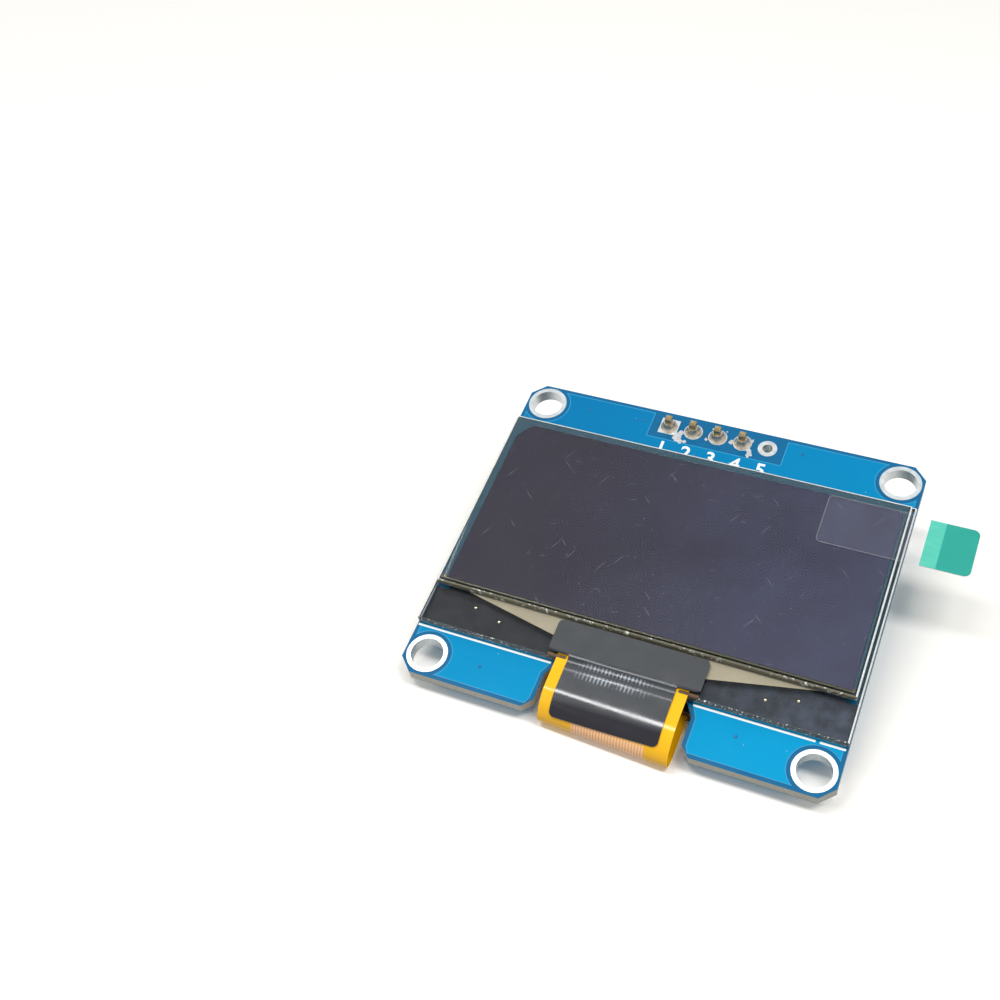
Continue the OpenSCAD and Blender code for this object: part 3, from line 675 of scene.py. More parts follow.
class Finishes(Enum):
    """Every finish on the module."""

    # Mask on laminate is darker than mask on copper, since no metal shines through it.
    MASK_ON_LAMINATE = BoardMask(
        "solder_mask_on_laminate", "#00618F", 0.21, ior=1.3, mottle=0.06, grain_um=3, grain_mm=0.4
    )
    # Mask on copper is the bright blue of the board, and its gloss waves a little; painted shade
    # darkens it towards the upper left.
    MASK_ON_COPPER = DustyMaskWithPaintedShade(
        "solder_mask_on_copper", "#0096C8", 0.2, ior=1.2, mottle=0.05, mottle_mm=6, grain_um=4,
        grain_mm=0.6,
    )
    # A via's hole keeps a thick, dark drop of mask.
    MASK_DIMPLE = Finish("mask_in_a_via", "#00679B", 0.18, ior=1.35, mottle=0.1, grain_um=2)
    # The mask thins over the copper's edge, so it shows as a pale line.
    MASK_STEP = Finish("thin_mask_over_copper_edge", "#1F8FBF", 0.21, mottle=0.1, grain_um=2)
    # Screen ink is dense and matt.
    SCREEN_INK = Finish("white_screen_ink", "#EDF4F6", 0.6, mottle=0.05, grain_um=4, grain_mm=0.08)
    # Hot-air levelled tin is bright with soft lumps.
    LEVELLED_TIN = Finish(
        "hot_air_levelled_tin", "#C4CACC", 0.35, 1.0, mottle=0.1, mottle_mm=0.6, grain_um=14,
        grain_mm=0.35,
    )
    # Reflowed or hand-fed solder is bright, lumpy and stained.
    SOLDER = Solder(
        "hand_fed_solder", "#C6BDAD", 0.35, 1.0, mottle=0.15, mottle_mm=0.5, grain_um=20,
        grain_mm=0.25,
    )
    # Tinned brass wire has drawn streaks and a warm tint at its cut tip.
    PIN_BRASS = Finish(
        "tinned_drawn_brass", "#A8946C", 0.35, 1.0, mottle=0.15, mottle_mm=0.4, grain_um=4,
        grain_mm=0.1,
    )
    # Rosin left after soldering is a cloudy, glossy crust.
    FLUX_RESIDUE = Finish(
        "rosin_residue", "#D3E4EE", 0.21, mottle=0.25, mottle_mm=0.3, grain_um=30, grain_mm=0.2,
        transmission=0.25,
    )
    # Natural nylon is milky and lets light in.
    NYLON = Finish(
        "natural_nylon", "#EFEBDF", 0.42, mottle=0.03, grain_um=5, grain_mm=0.2, subsurface_mm=0.6
    )
    # Closed-cell foam tape is dull black; a painted blue-grey reflection clouds it towards one
    # side.
    FOAM = FoamWithPaintedReflection(
        "black_foam_tape", "#191C26", 0.85, mottle=0.4, mottle_mm=1.1, grain_um=4, grain_mm=0.12
    )
    # Float glass with polished faces.
    PANEL_GLASS = Finish(
        "soda_lime_glass", "#10181C", 0.02, ior=2.0, mottle=0.0, grain_um=0.1, grain_mm=4.0,
        cover=0.2,
    )
    # The unlit pixel layers are nearly black under the polariser.
    PIXELS = Finish("unlit_pixel_layers", "#17151C", 0.36, mottle=0.1, grain_um=0.5)
    # Thin-film metal on glass: pale beige, fine comb of lines.
    TRACKS = TrackFan(
        "thin_film_tracks", "#A9A087", 0.35, 0.25, mottle=0.12, mottle_mm=3, grain_um=0.5
    )
    # The same metal looks olive under the seal's clear margin.
    LEADS = LeadBand(
        "tracks_under_the_seal", "#7A7762", 0.35, 0.2, mottle=0.2, mottle_mm=1.2, grain_um=0.5
    )
    # Scribed and ground glass edges are frosted, with bright chips.
    GLASS_SIDE = GroundEdge(
        "ground_glass_edge", "#6E6B58", 0.4, mottle=0.25, mottle_mm=0.5, grain_um=12,
        transmission=0.1,
    )
    # The same edge with black foam behind it.
    GLASS_OVER_FOAM = GroundEdge(
        "ground_glass_edge_over_foam", "#343B3E", 0.35, mottle=0.3, mottle_mm=0.5, grain_um=12,
        chip_mm=0.2,
    )
    # Grinding leaves the arris frosted and rough; its near-white colour is partly painted
    # highlight.
    GLASS_RIM = GroundEdge(
        "ground_glass_arris_and_highlight", "#EEF8EC", 0.36, mottle=0.22, mottle_mm=0.7, grain_um=8
    )
    # Bright metal marks that the assembly machine aligns to.
    MARKS = Finish("alignment_metal", "#B5AF8C", 0.2, 1.0, mottle=0.05, grain_um=0.5)
    # Cured epoxy bead round the cap.
    SEAL = Finish("cured_epoxy_seal", "#4F7186", 0.36, mottle=0.25, mottle_mm=0.8, grain_um=5)
    # Polariser under its film: the face takes its gloss from the film above, and its blue drift is
    # painted sheen.
    DISPLAY = DisplayFace(
        "dark_polariser", "#262334", 0.36, ior=1.42, mottle=0.12, mottle_mm=9, grain_um=0.5
    )
    # The same film where clear glass lies behind it: it only darkens what shows through.
    POLARISER_EDGE = MarginFilm(
        "polariser_margin", "#3F6678", 0.12, mottle=0.12, mottle_mm=0.8, grain_um=0.5, cover=0.72
    )
    # Clear protective film with faint waves.
    FILM = Finish(
        "protective_film", "#14141A", 0.05, ior=1.7, mottle=0.0, grain_um=0.6, grain_mm=2.5,
        cover=0.1,
    )
    # Clear pull tape, a little hazier than the film.
    CLEAR_TAPE = Finish(
        "clear_pull_tape", "#B4BCD6", 0.2, mottle=0.1, mottle_mm=2.0, grain_um=2, grain_mm=0.6,
        cover=0.035,
    )
    # Cutting leaves the tape's edge whitened.
    TAPE_RIM = Finish(
        "whitened_tape_edge", "#B9C0CC", 0.4, mottle=0.5, mottle_mm=0.4, grain_um=6, cover=0.3
    )
    # Film that is dyed through is an even, satin green.
    FLAG = FlagFilm("green_tab_film", "#009F8C", 0.4, ior=1.2, mottle=0.04, mottle_mm=2, grain_um=3)
    # Bare silicon is a dark mirror.
    SILICON = Finish("bare_silicon", "#22242A", 0.12, 0.6, mottle=0.05, grain_um=0.2)
    # Glue that cures in a bead is lumpy and amber.
    GLUE = Finish(
        "cured_amber_glue", "#6A5236", 0.2, mottle=0.45, mottle_mm=0.3, grain_um=22, grain_mm=0.3,
        transmission=0.25,
    )
    # Polyimide is glossy amber and lets some light through.
    POLYIMIDE = FlexFilm(
        "amber_polyimide", "#FFBC00", 0.14, ior=1.42, mottle=0.04, mottle_mm=3, grain_um=2
    )
    # Lacquered film tape has a satin face; its darker turn is painted shade and its pale comb is
    # painted highlight.
    COVER_TAPE = CoverFilm(
        "satin_cover_tape", "#20262D", 0.16, ior=1.78, mottle=0.1, mottle_mm=1.6, grain_um=3,
        grain_mm=0.3,
    )
    # Heat-proof nylon comes ivory and satin from its mould.
    ZIF_PLASTIC = Finish(
        "ivory_moulded_plastic", "#E4DCC6", 0.45, mottle=0.04, grain_um=5, subsurface_mm=0.3
    )
    # Glass-filled plastic comes dark and satin from its mould.
    SLIDER_PLASTIC = Finish("dark_moulded_plastic", "#332B27", 0.4, mottle=0.08, grain_um=6)
    # A thin gold flash over stamped bronze is pale yellow.
    GOLD_FLASH = Finish(
        "gold_flashed_bronze", "#D9BE74", 0.36, 1.0, mottle=0.1, mottle_mm=0.3, grain_um=4
    )
    # Fired ceramic is tan and dull.
    CERAMIC_TAN = Finish(
        "tan_capacitor_ceramic", "#A98457", 0.5, mottle=0.1, mottle_mm=0.3, grain_um=6,
        grain_mm=0.08,
    )
    # The printed glass over the resistor is black and smooth.
    GLAZE_BLACK = Finish("black_resistor_glaze", "#17181A", 0.36, mottle=0.1, grain_um=3)
    # Moulding compound filled with silica is black and dull.
    PACKAGE = Finish(
        "black_moulding_compound", "#232427", 0.55, mottle=0.08, mottle_mm=0.4, grain_um=8,
        grain_mm=0.08,
    )


class Palette:
    """Makes each finish once and hands it out."""

    def __init__(self) -> None:
        """Starts with no material made."""
        self.made: dict[Finishes, bpy.types.Material] = {}

    def get(self, finish: Finishes) -> bpy.types.Material:
        """Returns the material of a finish, made when it is first asked for."""
        if finish not in self.made:
            self.made[finish] = finish.value.build()
        return self.made[finish]

    def dress(self, thing: Thing, finish: Finishes) -> None:
        """Gives a whole piece one finish."""
        thing.data.materials.clear()
        thing.data.materials.append(self.get(finish))

    def dress_solids(self, *pairs: tuple[str, Finishes]) -> None:
        """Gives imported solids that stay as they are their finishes."""
        for node, finish in pairs:
            self.dress(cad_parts[node], finish)

    def fix(self, thing: Thing, finish: Finishes, slot: str, *nodes: str) -> None:
        """Gives a modelled piece its finish and fixes it to the module."""
        self.dress(thing, finish)
        Bench.mount(thing, slot, *nodes)


# ---- Modelling by hand, in code ----


class Bench:
    """The few hand operations that the pieces are modelled with."""

    @staticmethod
    def clear() -> None:
        """Leaves edit mode and deselects every object."""
        if bpy.context.object and bpy.context.object.mode != "OBJECT":
            bpy.ops.object.mode_set(mode="OBJECT")
        bpy.ops.object.select_all(action="DESELECT")

    @classmethod
    def take(cls, thing: Thing) -> None:
        """Selects one piece alone and makes it the active one."""
        cls.clear()
        thing.select_set(True)
        bpy.context.view_layer.objects.active = thing

    @staticmethod
    def name(label: str) -> Thing:
        """Names the object that an operator has just made, and returns it."""
        thing = bpy.context.object
        thing.name = label
        thing.data.name = label
        return thing

    @classmethod
    def block(cls, label: str, low: Point, high: Point) -> Thing:
        """Starts a piece as a block between two corners.

        Args:
            label: The piece's name.
            low: Lowest corner in millimetres.
            high: Highest corner in millimetres.

        Returns:
            The new object, with its place in its mesh.
        """
        cls.clear()
        middle = [(a + b) / 2 * SCALE for a, b in zip(low, high)]
        bpy.ops.mesh.primitive_cube_add(size=1, location=middle)
        thing = cls.name(label)
        thing.scale = [(b - a) * SCALE for a, b in zip(low, high)]
        cls.settle(thing)
        return thing

    @classmethod
    def disc(
        cls, label: str, centre: Point, radius: float, height: float, sides: int = 32
    ) -> Thing:
        """Starts a piece as a round upright plug that stands on a point.

        Args:
            label: The piece's name.
            centre: Middle of its lower face in millimetres.
            radius: Radius in millimetres.
            height: Height in millimetres.
            sides: Number of flat sides.

        Returns:
            The new object.
        """
        cls.clear()
        x, y, z = centre
        bpy.ops.mesh.primitive_cylinder_add(
            vertices=sides, radius=radius * SCALE, depth=height * SCALE,
            location=(x * SCALE, y * SCALE, (z + height / 2) * SCALE),
        )
        thing = cls.name(label)
        cls.settle(thing)
        return thing

    @classmethod
    def settle(cls, thing: Thing) -> None:
        """Puts a piece's place, turn and size into its mesh."""
        cls.take(thing)
        bpy.ops.object.transform_apply(location=True, rotation=True, scale=True)

    @classmethod
    def edit(cls, thing: Thing, mode: str = "FACE") -> None:
        """Opens a piece in edit mode with nothing selected."""
        cls.take(thing)
        bpy.ops.object.mode_set(mode="EDIT")
        bpy.ops.mesh.select_mode(type=mode)
        bpy.ops.mesh.select_all(action="DESELECT")

    @staticmethod
    def pick(thing: Thing, kind: str, test: Callable[[Any], bool]) -> None:
        """Selects the parts of a mesh that pass a test, in edit mode.

        Args:
            thing: The piece being edited.
            kind: One of "verts", "edges" and "faces".
            test: Says whether a part is wanted.
        """
        mesh = bmesh.from_edit_mesh(thing.data)
        for part in getattr(mesh, kind):
            part.select_set(test(part))
        bmesh.update_edit_mesh(thing.data)

    @staticmethod
    def slice(spot: Iterable[float], normal: Iterable[float], trim: bool = False) -> None:
        """Slices the open piece with a plane, in edit mode.

        Args:
            spot: A point of the plane in millimetres.
            normal: The plane's normal.
            trim: Throws away what lies beyond the plane and closes the cut.
        """
        bpy.ops.mesh.select_all(action="SELECT")
        bpy.ops.mesh.bisect(
            plane_co=[c * SCALE for c in spot], plane_no=normal, clear_outer=trim, use_fill=trim
        )

    @staticmethod
    def done() -> None:
        """Leaves edit mode."""
        bpy.ops.object.mode_set(mode="OBJECT")

    @classmethod
    def round_corners(
        cls, thing: Thing, radius: float, steps: int, test: Callable[[Any], bool] = upright
    ) -> None:
        """Rounds the corners of a flat piece.

        Args:
            thing: The piece.
            radius: Radius of a corner in millimetres.
            steps: Number of flats in it.
            test: Says whether an edge is one of the corners.
        """
        cls.edit(thing, "EDGE")
        cls.pick(thing, "edges", test)
        bpy.ops.mesh.bevel(offset=radius * SCALE, segments=steps)
        cls.done()

    @classmethod
    def inset(cls, thing: Thing, *rings: Pair, face: int = 1) -> None:
        """Sets rings into the flat top of a piece and leaves its middle selected.

        Args:
            thing: The piece.
            rings: Width and rise of each ring in millimetres, from the outside inwards.
            face: 1 where the top looks to the front and -1 where it looks to the back.
        """
        cls.edit(thing)
        cls.pick(thing, "faces", lambda f: f.normal.z * face > FLAT)
        for width, rise in rings:
            bpy.ops.mesh.inset(thickness=width * SCALE, depth=rise * SCALE)
        cls.done()

    @classmethod
    def modify(cls, thing: Thing, kind: str, **settings: Any) -> None:
        """Adds a modifier with its settings and applies it."""
        cls.take(thing)
        worker = thing.modifiers.new(kind.title(), kind)
        for key, value in settings.items():
            setattr(worker, key, value)
        bpy.ops.object.modifier_apply(modifier=worker.name)

    @classmethod
    def cut(cls, thing: Thing, tools: Iterable[Thing]) -> None:
        """Cuts a piece with each tool and throws the tools away."""
        for tool in tools:
            cls.modify(thing, "BOOLEAN", operation="DIFFERENCE", solver="EXACT", object=tool)
            bpy.data.objects.remove(tool)

    @classmethod
    def soften(cls, thing: Thing, width: float) -> None:
        """Rounds every sharp edge of a piece by a width in millimetres."""
        cls.modify(
            thing, "BEVEL", width=width * SCALE, segments=2, limit_method="ANGLE",
            angle_limit=math.radians(35), harden_normals=False,
        )
        cls.smooth(thing)

    @classmethod
    def smooth(cls, thing: Thing, degrees: float = 35) -> None:
        """Shades a piece smooth across edges flatter than an angle."""
        cls.take(thing)
        bpy.ops.object.shade_smooth_by_angle(angle=math.radians(degrees))

    @classmethod
    def join(cls, label: str, things: list[Thing]) -> Thing:
        """Joins pieces of one material into one object.

        Args:
            label: Name of the joined object.
            things: The objects to join.

        Returns:
            The joined object.
        """
        cls.clear()
        for thing in things:
            thing.select_set(True)
        bpy.context.view_layer.objects.active = things[0]
        if len(things) > 1:
            bpy.ops.object.join()
        return cls.name(label)

    @staticmethod
    def mount(thing: Thing, slot: str, *nodes: str) -> None:
        """Fixes a finished piece to the module.

        Args:
            thing: The piece.
            slot: Not used.
            nodes: CAD nodes that it stands for.
        """
        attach(thing, "root")
        if nodes:
            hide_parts(*nodes)
        log.info("piece %s: %d faces", thing.name, len(thing.data.polygons))


# ---- The board ----


@dataclass
class Board:
    """Circuit board with its copper pour, ink and vias."""

    palette: Palette
    half_w: float = 20.4
    half_h: float = 17.75
    thick: float = 1.2
    corner: float = 1.3
    margin: float = 0.36  # bare laminate along the edges
    step: float = 0.014  # height of the rim of thin mask round the pour
    crown: float = 0.004  # height of the pour above its rim
    rim: float = 0.09
    hole_x: float = 18.2
    hole_y: float = 15.5
    halo: float = 2.34
    # Half widths of the notch at its inner end, at its sides and at its mouth, and the
    # levels of its inner end, of its kink and of the start of its mouth
    notch: tuple[float, ...] = (5.9, 6.95, 7.85, -12.25, -14.05, -16.75)
    header_zone: tuple[float, float, float, float] = (-6.93, 14.42, 6.8, 18.5)
    vias: tuple[Pair, ...] = (
        (-13.6, 15.82), (-8.68, 15.99), (-7.66, 16.13), (8.53, 16.27), (-12.91, -15.25),
        (11.1, -14.59),
    )
    via_radius: float = 0.17
    via_height: float = 0.02
    via_rings: tuple[Pair, ...] = ((0.06, 0.012), (0.03, -0.028))  # the dome, then its dimple
    ink_mm: float = 0.015
    ink_corner: float = 0.06
    line_y: Pair = (-12.96, -12.74)
    line_x: tuple[Pair, ...] = ((-20.3, -6.75), (6.75, 17.6), (17.95, 20.2))
    pins: int = 5
    pin_pitch: float = 2.54
    digit_at: Point = (-5.08, 12.62, 0.029)  # foot of the first digit
    digit_mm: float = 2.1
    digit_ink: float = 0.01  # half the height of a digit
    digit_bold: float = 0.04  # how far the ink spreads past the letter's outline
    # Outlines on the back: the part, and the ink's distance beside, below and above it
    outlines: tuple[tuple[str, float, float, float], ...] = (
        ("cable_connector", 0.3, 0.3, 0.3), ("zif_housing", 1.5, -0.3, 1.2),
        ("regulator_body", 0.35, 1.0, 1.0), ("diode_body", 0.35, 1.0, 1.0),
        ("capacitor_caps", 0.4, 0.35, 0.35), ("resistor_caps", 0.4, 0.35, 0.35),
    )
    outline_mm: float = 0.15
    outline_top: float = 17.3  # ink stops short of the board's upper edge

    def build(self) -> None:
        """Dresses the board and adds what is printed and plated on it."""
        self.palette.dress_solids(
            ("pcb", Finishes.MASK_ON_LAMINATE), ("mounting_rings", Finishes.LEVELLED_TIN),
            ("header_pads", Finishes.LEVELLED_TIN),
        )
        self.pour("copper_pour_front", 0.0, 1)
        self.pour("copper_pour_back", -self.thick, -1)
        self.via_domes()
        self.outline_ink()
        self.pin_numbers()
        self.rear_ink()

    def notch_tool(self, z: float, m: float) -> Thing:
        """Makes the cutter for the notch with its bare margin.

        Args:
            z: Level of the pour in millimetres.
            m: Bare margin along the edges in millimetres.

        Returns:
            A block shaped to the kinked notch.
        """
        neck, side, mouth, inner, kink, flare = self.notch
        low = (-mouth - m, -self.half_h - 1, z - 1)
        tool = Bench.block("notch_tool", low, (mouth + m, inner + m, z + 1))
        Bench.edit(tool, "EDGE")
        for y in (kink, flare):
            Bench.slice((0, y, 0), (0, 1, 0))
        Bench.done()
        widths = {inner + m: neck + m, kink: side + m, flare: side + m}
        for corner in tool.data.vertices:
            for y, half in widths.items():
                if abs(corner.co.y / SCALE - y) < 0.01:
                    corner.co.x = math.copysign(half * SCALE, corner.co.x)
        return tool

    def layer(self, label: str, z: float, height: float, m: float) -> Thing:
        """Cuts one flat layer to the outline of the copper pour.

        Args:
            label: The piece's name.
            z: Level it starts from in millimetres.
            height: Its height, negative to grow backwards.
            m: Bare margin along the board's edges in millimetres.

        Returns:
            The layer.
        """
        w, h = self.half_w - m, self.half_h - m
        low, high = sorted((z, z + height))
        piece = Bench.block(label, (-w, -h, low), (w, h, high))
        Bench.edit(piece)
        reach = w + h - self.corner + 0.4 * m
        for quarter in QUARTERS:
            normal = Vector((*quarter, 0)).normalized()
            Bench.slice(normal * reach / math.sqrt(2), normal, trim=True)
        Bench.done()
        more = m - self.margin
        tools = [self.notch_tool(z, m)]
        for sx, sy in QUARTERS:
            spot = (sx * self.hole_x, sy * self.hole_y, z - 1)
            tools.append(Bench.disc("halo_tool", spot, self.halo + more, 2, 64))
        x0, y0, x1, y1 = self.header_zone
        low_end, high_end = (x0 - more, y0 - more, z - 1), (x1 + more, y1 + more, z + 1)
        tools.append(Bench.block("zone_tool", low_end, high_end))
        Bench.cut(piece, tools)
        return piece

    def pour(self, label: str, z: float, face: int) -> None:
        """Makes the raised mask over the pour on one face: a thin rim with the field on it.

        Args:
            label: The piece's name.
            z: Level of the board's face in millimetres.
            face: 1 for the front and -1 for the back.
        """
        rim = self.layer(label + "_rim", z, face * self.step, self.margin)
        self.palette.fix(rim, Finishes.MASK_STEP, "solder_mask")
        field_z = z + face * self.step
        sheet = self.layer(label, field_z, face * self.crown, self.margin + self.rim)
        self.palette.fix(sheet, Finishes.MASK_ON_COPPER, "solder_mask")

    def via_domes(self) -> None:
        """Adds the mask-covered vias: a low dome with a dimple over each hole."""
        domes = []
        top = self.step + self.crown
        for z, face in ((0.0, 1), (-self.thick, -1)):
            start = z + top if face > 0 else z - top - self.via_height
            for spot in self.vias:
                dome = Bench.disc("via", (*spot, start), self.via_radius, self.via_height, 24)
                Bench.inset(dome, *self.via_rings, face=face)
                domes.append(dome)
        piece = Bench.join("via_domes", domes)
        Bench.smooth(piece, 60)
        self.palette.fix(piece, Finishes.MASK_DIMPLE, "solder_mask")

    def ink_bar(self, low: Pair, high: Pair, z: float = 0.0, face: int = 1) -> Thing:
        """Prints one straight bar of ink with softened ends.

        Args:
            low: Lowest x and y in millimetres.
            high: Highest x and y in millimetres.
            z: Level of the board's face.
            face: 1 for the front and -1 for the back.

        Returns:
            The bar.
        """
        top = self.step + self.crown
        ends = sorted((z + face * top, z + face * (top + self.ink_mm)))
        bar = Bench.block("ink", (*low, ends[0]), (*high, ends[1]))
        Bench.round_corners(bar, self.ink_corner, 3)
        return bar

    def outline_ink(self) -> None:
        """Prints the line along the lower edge of the display."""
        y0, y1 = self.line_y
        bars = [self.ink_bar((x0, y0), (x1, y1)) for x0, x1 in self.line_x]
        piece = Bench.join("display_outline_ink", bars)
        self.palette.fix(piece, Finishes.SCREEN_INK, "solder_mask")

    def pin_numbers(self) -> None:
        """Prints plain pin numbers below the header row."""
        digits = []
        x, y, z = self.digit_at
        for i in range(self.pins):
            Bench.clear()
            spot = ((x + self.pin_pitch * i) * SCALE, y * SCALE, z * SCALE)
            bpy.ops.object.text_add(location=spot)
            text = bpy.context.object
            text.data.body = str(i + 1)
            text.data.align_x = "CENTER"
            text.data.size = self.digit_mm * SCALE
            text.data.extrude = self.digit_ink * SCALE
            text.data.offset = self.digit_bold * SCALE
            bpy.ops.object.convert(target="MESH")
            digit = Bench.name(f"digit_{i}")
            Bench.settle(digit)
            digits.append(digit)
        piece = Bench.join("pin_number_ink", digits)
        self.palette.fix(piece, Finishes.SCREEN_INK, "solder_mask")

    def rear_ink(self) -> None:
        """Prints the part outlines on the back, four bars round each part."""
        bars = []
        w = self.outline_mm
        for node, beside, below, above in self.outlines:
            low, high = limits(node)
            x0, y0, x1 = low.x - beside, low.y - below, high.x + beside
            y1 = min(high.y + above, self.outline_top)
            for start, end in (
                ((x0, y0), (x1, y0 + w)), ((x0, y1 - w), (x1, y1)),
                ((x0, y0), (x0 + w, y1)), ((x1 - w, y0), (x1, y1)),
            ):
                bars.append(self.ink_bar(start, end, -self.thick, -1))
        piece = Bench.join("rear_outline_ink", bars)
        self.palette.fix(piece, Finishes.SCREEN_INK, "solder_mask")


# ---- The header row ----


@dataclass
class Header:
    """Soldered pins of the cable connector and the residue round them."""

    palette: Palette
    # Drops of rosin: place and half width in x and y
    blobs: tuple[tuple[float, float, float, float], ...] = (
        (-3.95, 14.95, 0.42, 0.5), (-3.5, 14.55, 0.28, 0.3), (-3.75, 15.5, 0.3, 0.45),
        (-3.05, 14.62, 0.2, 0.2), (1.45, 15.85, 0.25, 0.3), (3.35, 15.3, 0.24, 0.75),
        (3.45, 14.75, 0.2, 0.35), (-1.05, 15.5, 0.16, 0.2), (-0.7, 16.9, 0.14, 0.12),
        (-2.6, 16.95, 0.12, 0.1), (0.7, 16.95, 0.1, 0.1), (3.4, 16.4, 0.12, 0.4),
    )
    level: float = 0.02  # middle of a drop above the board's face
    height: float = 0.07
    turn: float = 0.7
    ragged: float = 0.13  # share by which a drop's outline wanders

    def build(self) -> None:
        """Dresses the pins and their solder and adds the residue."""
        self.palette.dress_solids(
            ("header_solder", Finishes.SOLDER), ("connector_pins", Finishes.PIN_BRASS)
        )
        self.residue()

    def residue(self) -> None:
        """Adds flat, lumpy drops of rosin between the pads."""
        rng = random.Random(7)
        drops = []
        for x, y, rx, ry in self.blobs:
            Bench.clear()
            middle = (x * SCALE, y * SCALE, self.level * SCALE)
            bpy.ops.mesh.primitive_ico_sphere_add(subdivisions=3, radius=1.0, location=middle)
            drop = Bench.name("drop")
            drop.scale = (rx * SCALE, ry * SCALE, self.height * SCALE)
            drop.rotation_euler.z = rng.uniform(-self.turn, self.turn)
            Bench.settle(drop)
            for corner in drop.data.vertices:
                dx, dy = corner.co.x - middle[0], corner.co.y - middle[1]
                away = 1 + self.ragged * math.sin(4 * math.atan2(dy, dx) + rng.random())
                corner.co.x = middle[0] + dx * away
                corner.co.y = middle[1] + dy * away
                corner.co.z = max(corner.co.z, 0.0)
            drops.append(drop)
        piece = Bench.join("rosin_drops", drops)
        Bench.smooth(piece, 60)
        self.palette.fix(piece, Finishes.FLUX_RESIDUE, "clear_film")


# ---- The glass panel ----


@dataclass
class Panel:
    """Laminated display glass on its foam, with its polariser and film."""

    palette: Palette
    air: float = 0.006  # gap that keeps laid sheets from sharing a face
    arris: float = 0.06  # frosted line just inside a plate's upper edges
    dark: tuple[float, float, float, float] = (-19.0, -8.1, 19.4, 11.15)
    cut_left: Pair = (1.15, 1.65)
    cut_right: Pair = (0.55, 0.6)
    round: float = 0.28  # rounding of the cut corners
    join_gap: float = 0.03  # between the dark window and its clear margin
    margin_round: float = 0.02
    film_corner: float = 0.4
    band_low: float = -8.55
    band_lap: float = 0.4  # how far the band of tracks reaches under the window
    band_mm: float = 0.008
    band_corner: float = 0.15
    band_lift: float = 0.004
    dots: tuple[Pair, ...] = (
        (-15.39, -10.06), (-12.69, -10.82), (12.63, -10.89), (15.34, -10.11),
    )
    dot_radius: float = 0.11
    dot_mm: float = 0.012
    dot_ring: Pair = (0.03, -0.005)

    def build(self) -> None:
        """Dresses the inner layers and builds the glass and the films."""
        self.palette.dress_solids(
            ("foam_tape", Finishes.FOAM), ("pixel_layer", Finishes.PIXELS),
            ("track_fan", Finishes.TRACKS), ("edge_seal", Finishes.SEAL),
            ("driver_chip", Finishes.SILICON),
        )
        self.slab("base_glass", "lower_glass", 0.08, Finishes.GLASS_OVER_FOAM)
        self.slab("cover_glass", "cap_glass", 0.09, Finishes.GLASS_SIDE)
        self.display_face()
        self.film_sheet()
        self.lead_band()
        self.alignment_marks()

    def slab(self, label: str, node: str, chamfer: float, side: Finishes) -> None:
        """Builds one ground and polished glass plate in place of its plain solid.

        Args:
            label: The piece's name.
            node: The CAD node it stands for.
            chamfer: Width of the ground edges in millimetres.
            side: Finish of its cut sides.
        """
        low, high = limits(node)
        top = (high.x, high.y, high.z - self.air)
        plate = Bench.block(label, (low.x, low.y, low.z + self.air), top)
        Bench.round_corners(plate, chamfer, 1, lambda e: True)
        Bench.inset(plate, (self.arris, 0.0))
        for finish in (Finishes.PANEL_GLASS, side, Finishes.GLASS_RIM):
            plate.data.materials.append(self.palette.get(finish))
        face, cut, ground = range(3)
        for polygon in plate.data.polygons:
            level = abs(polygon.normal.z)
            # Edges away from the front take the near-white arris finish, which is partly painted
            # highlight; the front ones take the cut finish.
            front = polygon.center.y / SCALE < low.y + 2 * (chamfer + self.arris)
            rim = cut if front else ground
            if level < 1 - FLAT:
                polygon.material_index = cut
            elif level < FLAT or (polygon.normal.z > 0 and not polygon.select):
                polygon.material_index = rim
            else:
                polygon.material_index = face
        Bench.mount(plate, "panel_glass", node)

    def window(self, label: str, grow: float, z0: float, z1: float) -> Thing:
        """Builds a block with the outline of the dark window, its upper corners cut and rounded.

        Args:
            label: The piece's name.
            grow: Width added all round in millimetres.
            z0: Its lower face.
            z1: Its upper face.

        Returns:
            The block.
        """
        x0, y0, x1, y1 = self.dark
        x0, y0, x1, y1 = x0 - grow, y0 - grow, x1 + grow, y1 + grow
        block = Bench.block(label, (x0, y0, z0), (x1, y1, z1))
        Bench.edit(block)
        for x, (a, b), side in ((x0, self.cut_left, -1), (x1, self.cut_right, 1)):
            Bench.slice((x, y1 - b, 0), Vector((side * b, a, 0)).normalized(), trim=True)
        Bench.done()
        Bench.round_corners(block, self.round, 4, lambda e: upright(e) and e.verts[0].co.y > 0)
        return block

    def display_face(self) -> None:
        """Builds the polariser: the dark window and the clear margin round it."""
        low, high = limits("polariser")
        z0, z1 = low.z + self.air, high.z - self.air
        face = self.window("display_window", 0.0, z0, z1)
        self.palette.fix(face, Finishes.DISPLAY, "polariser_film", "polariser")
        margin = Bench.block("polariser_margin", (low.x, low.y, z0), (high.x, high.y, z1))
        Bench.cut(margin, [self.window("window_tool", self.join_gap, z0 - 1, z1 + 1)])
        Bench.soften(margin, self.margin_round)
        self.palette.fix(margin, Finishes.POLARISER_EDGE, "polariser_film")

    def film_sheet(self) -> None:
        """Builds the protective film with its rounded corners."""
        low, high = limits("protective_film")
        top = (high.x, high.y, high.z - self.air)
        film = Bench.block("film_sheet", (low.x, low.y, low.z + self.air), top)
        Bench.round_corners(film, self.film_corner, 6)
        Bench.smooth(film, 20)
        self.palette.fix(film, Finishes.FILM, "clear_film", "protective_film")

    def lead_band(self) -> None:
        """Builds the strip of tracks that shows below the dark window."""
        z = limits("pixel_layer")[1].z + self.band_lift
        x0, y0, x1, _ = self.dark
        top = (x1, y0 + self.band_lap, z + self.band_mm)
        band = Bench.block("lead_band", (x0, self.band_low, z), top)
        Bench.round_corners(band, self.band_corner, 3)
        self.palette.fix(band, Finishes.LEADS, "track_metal")

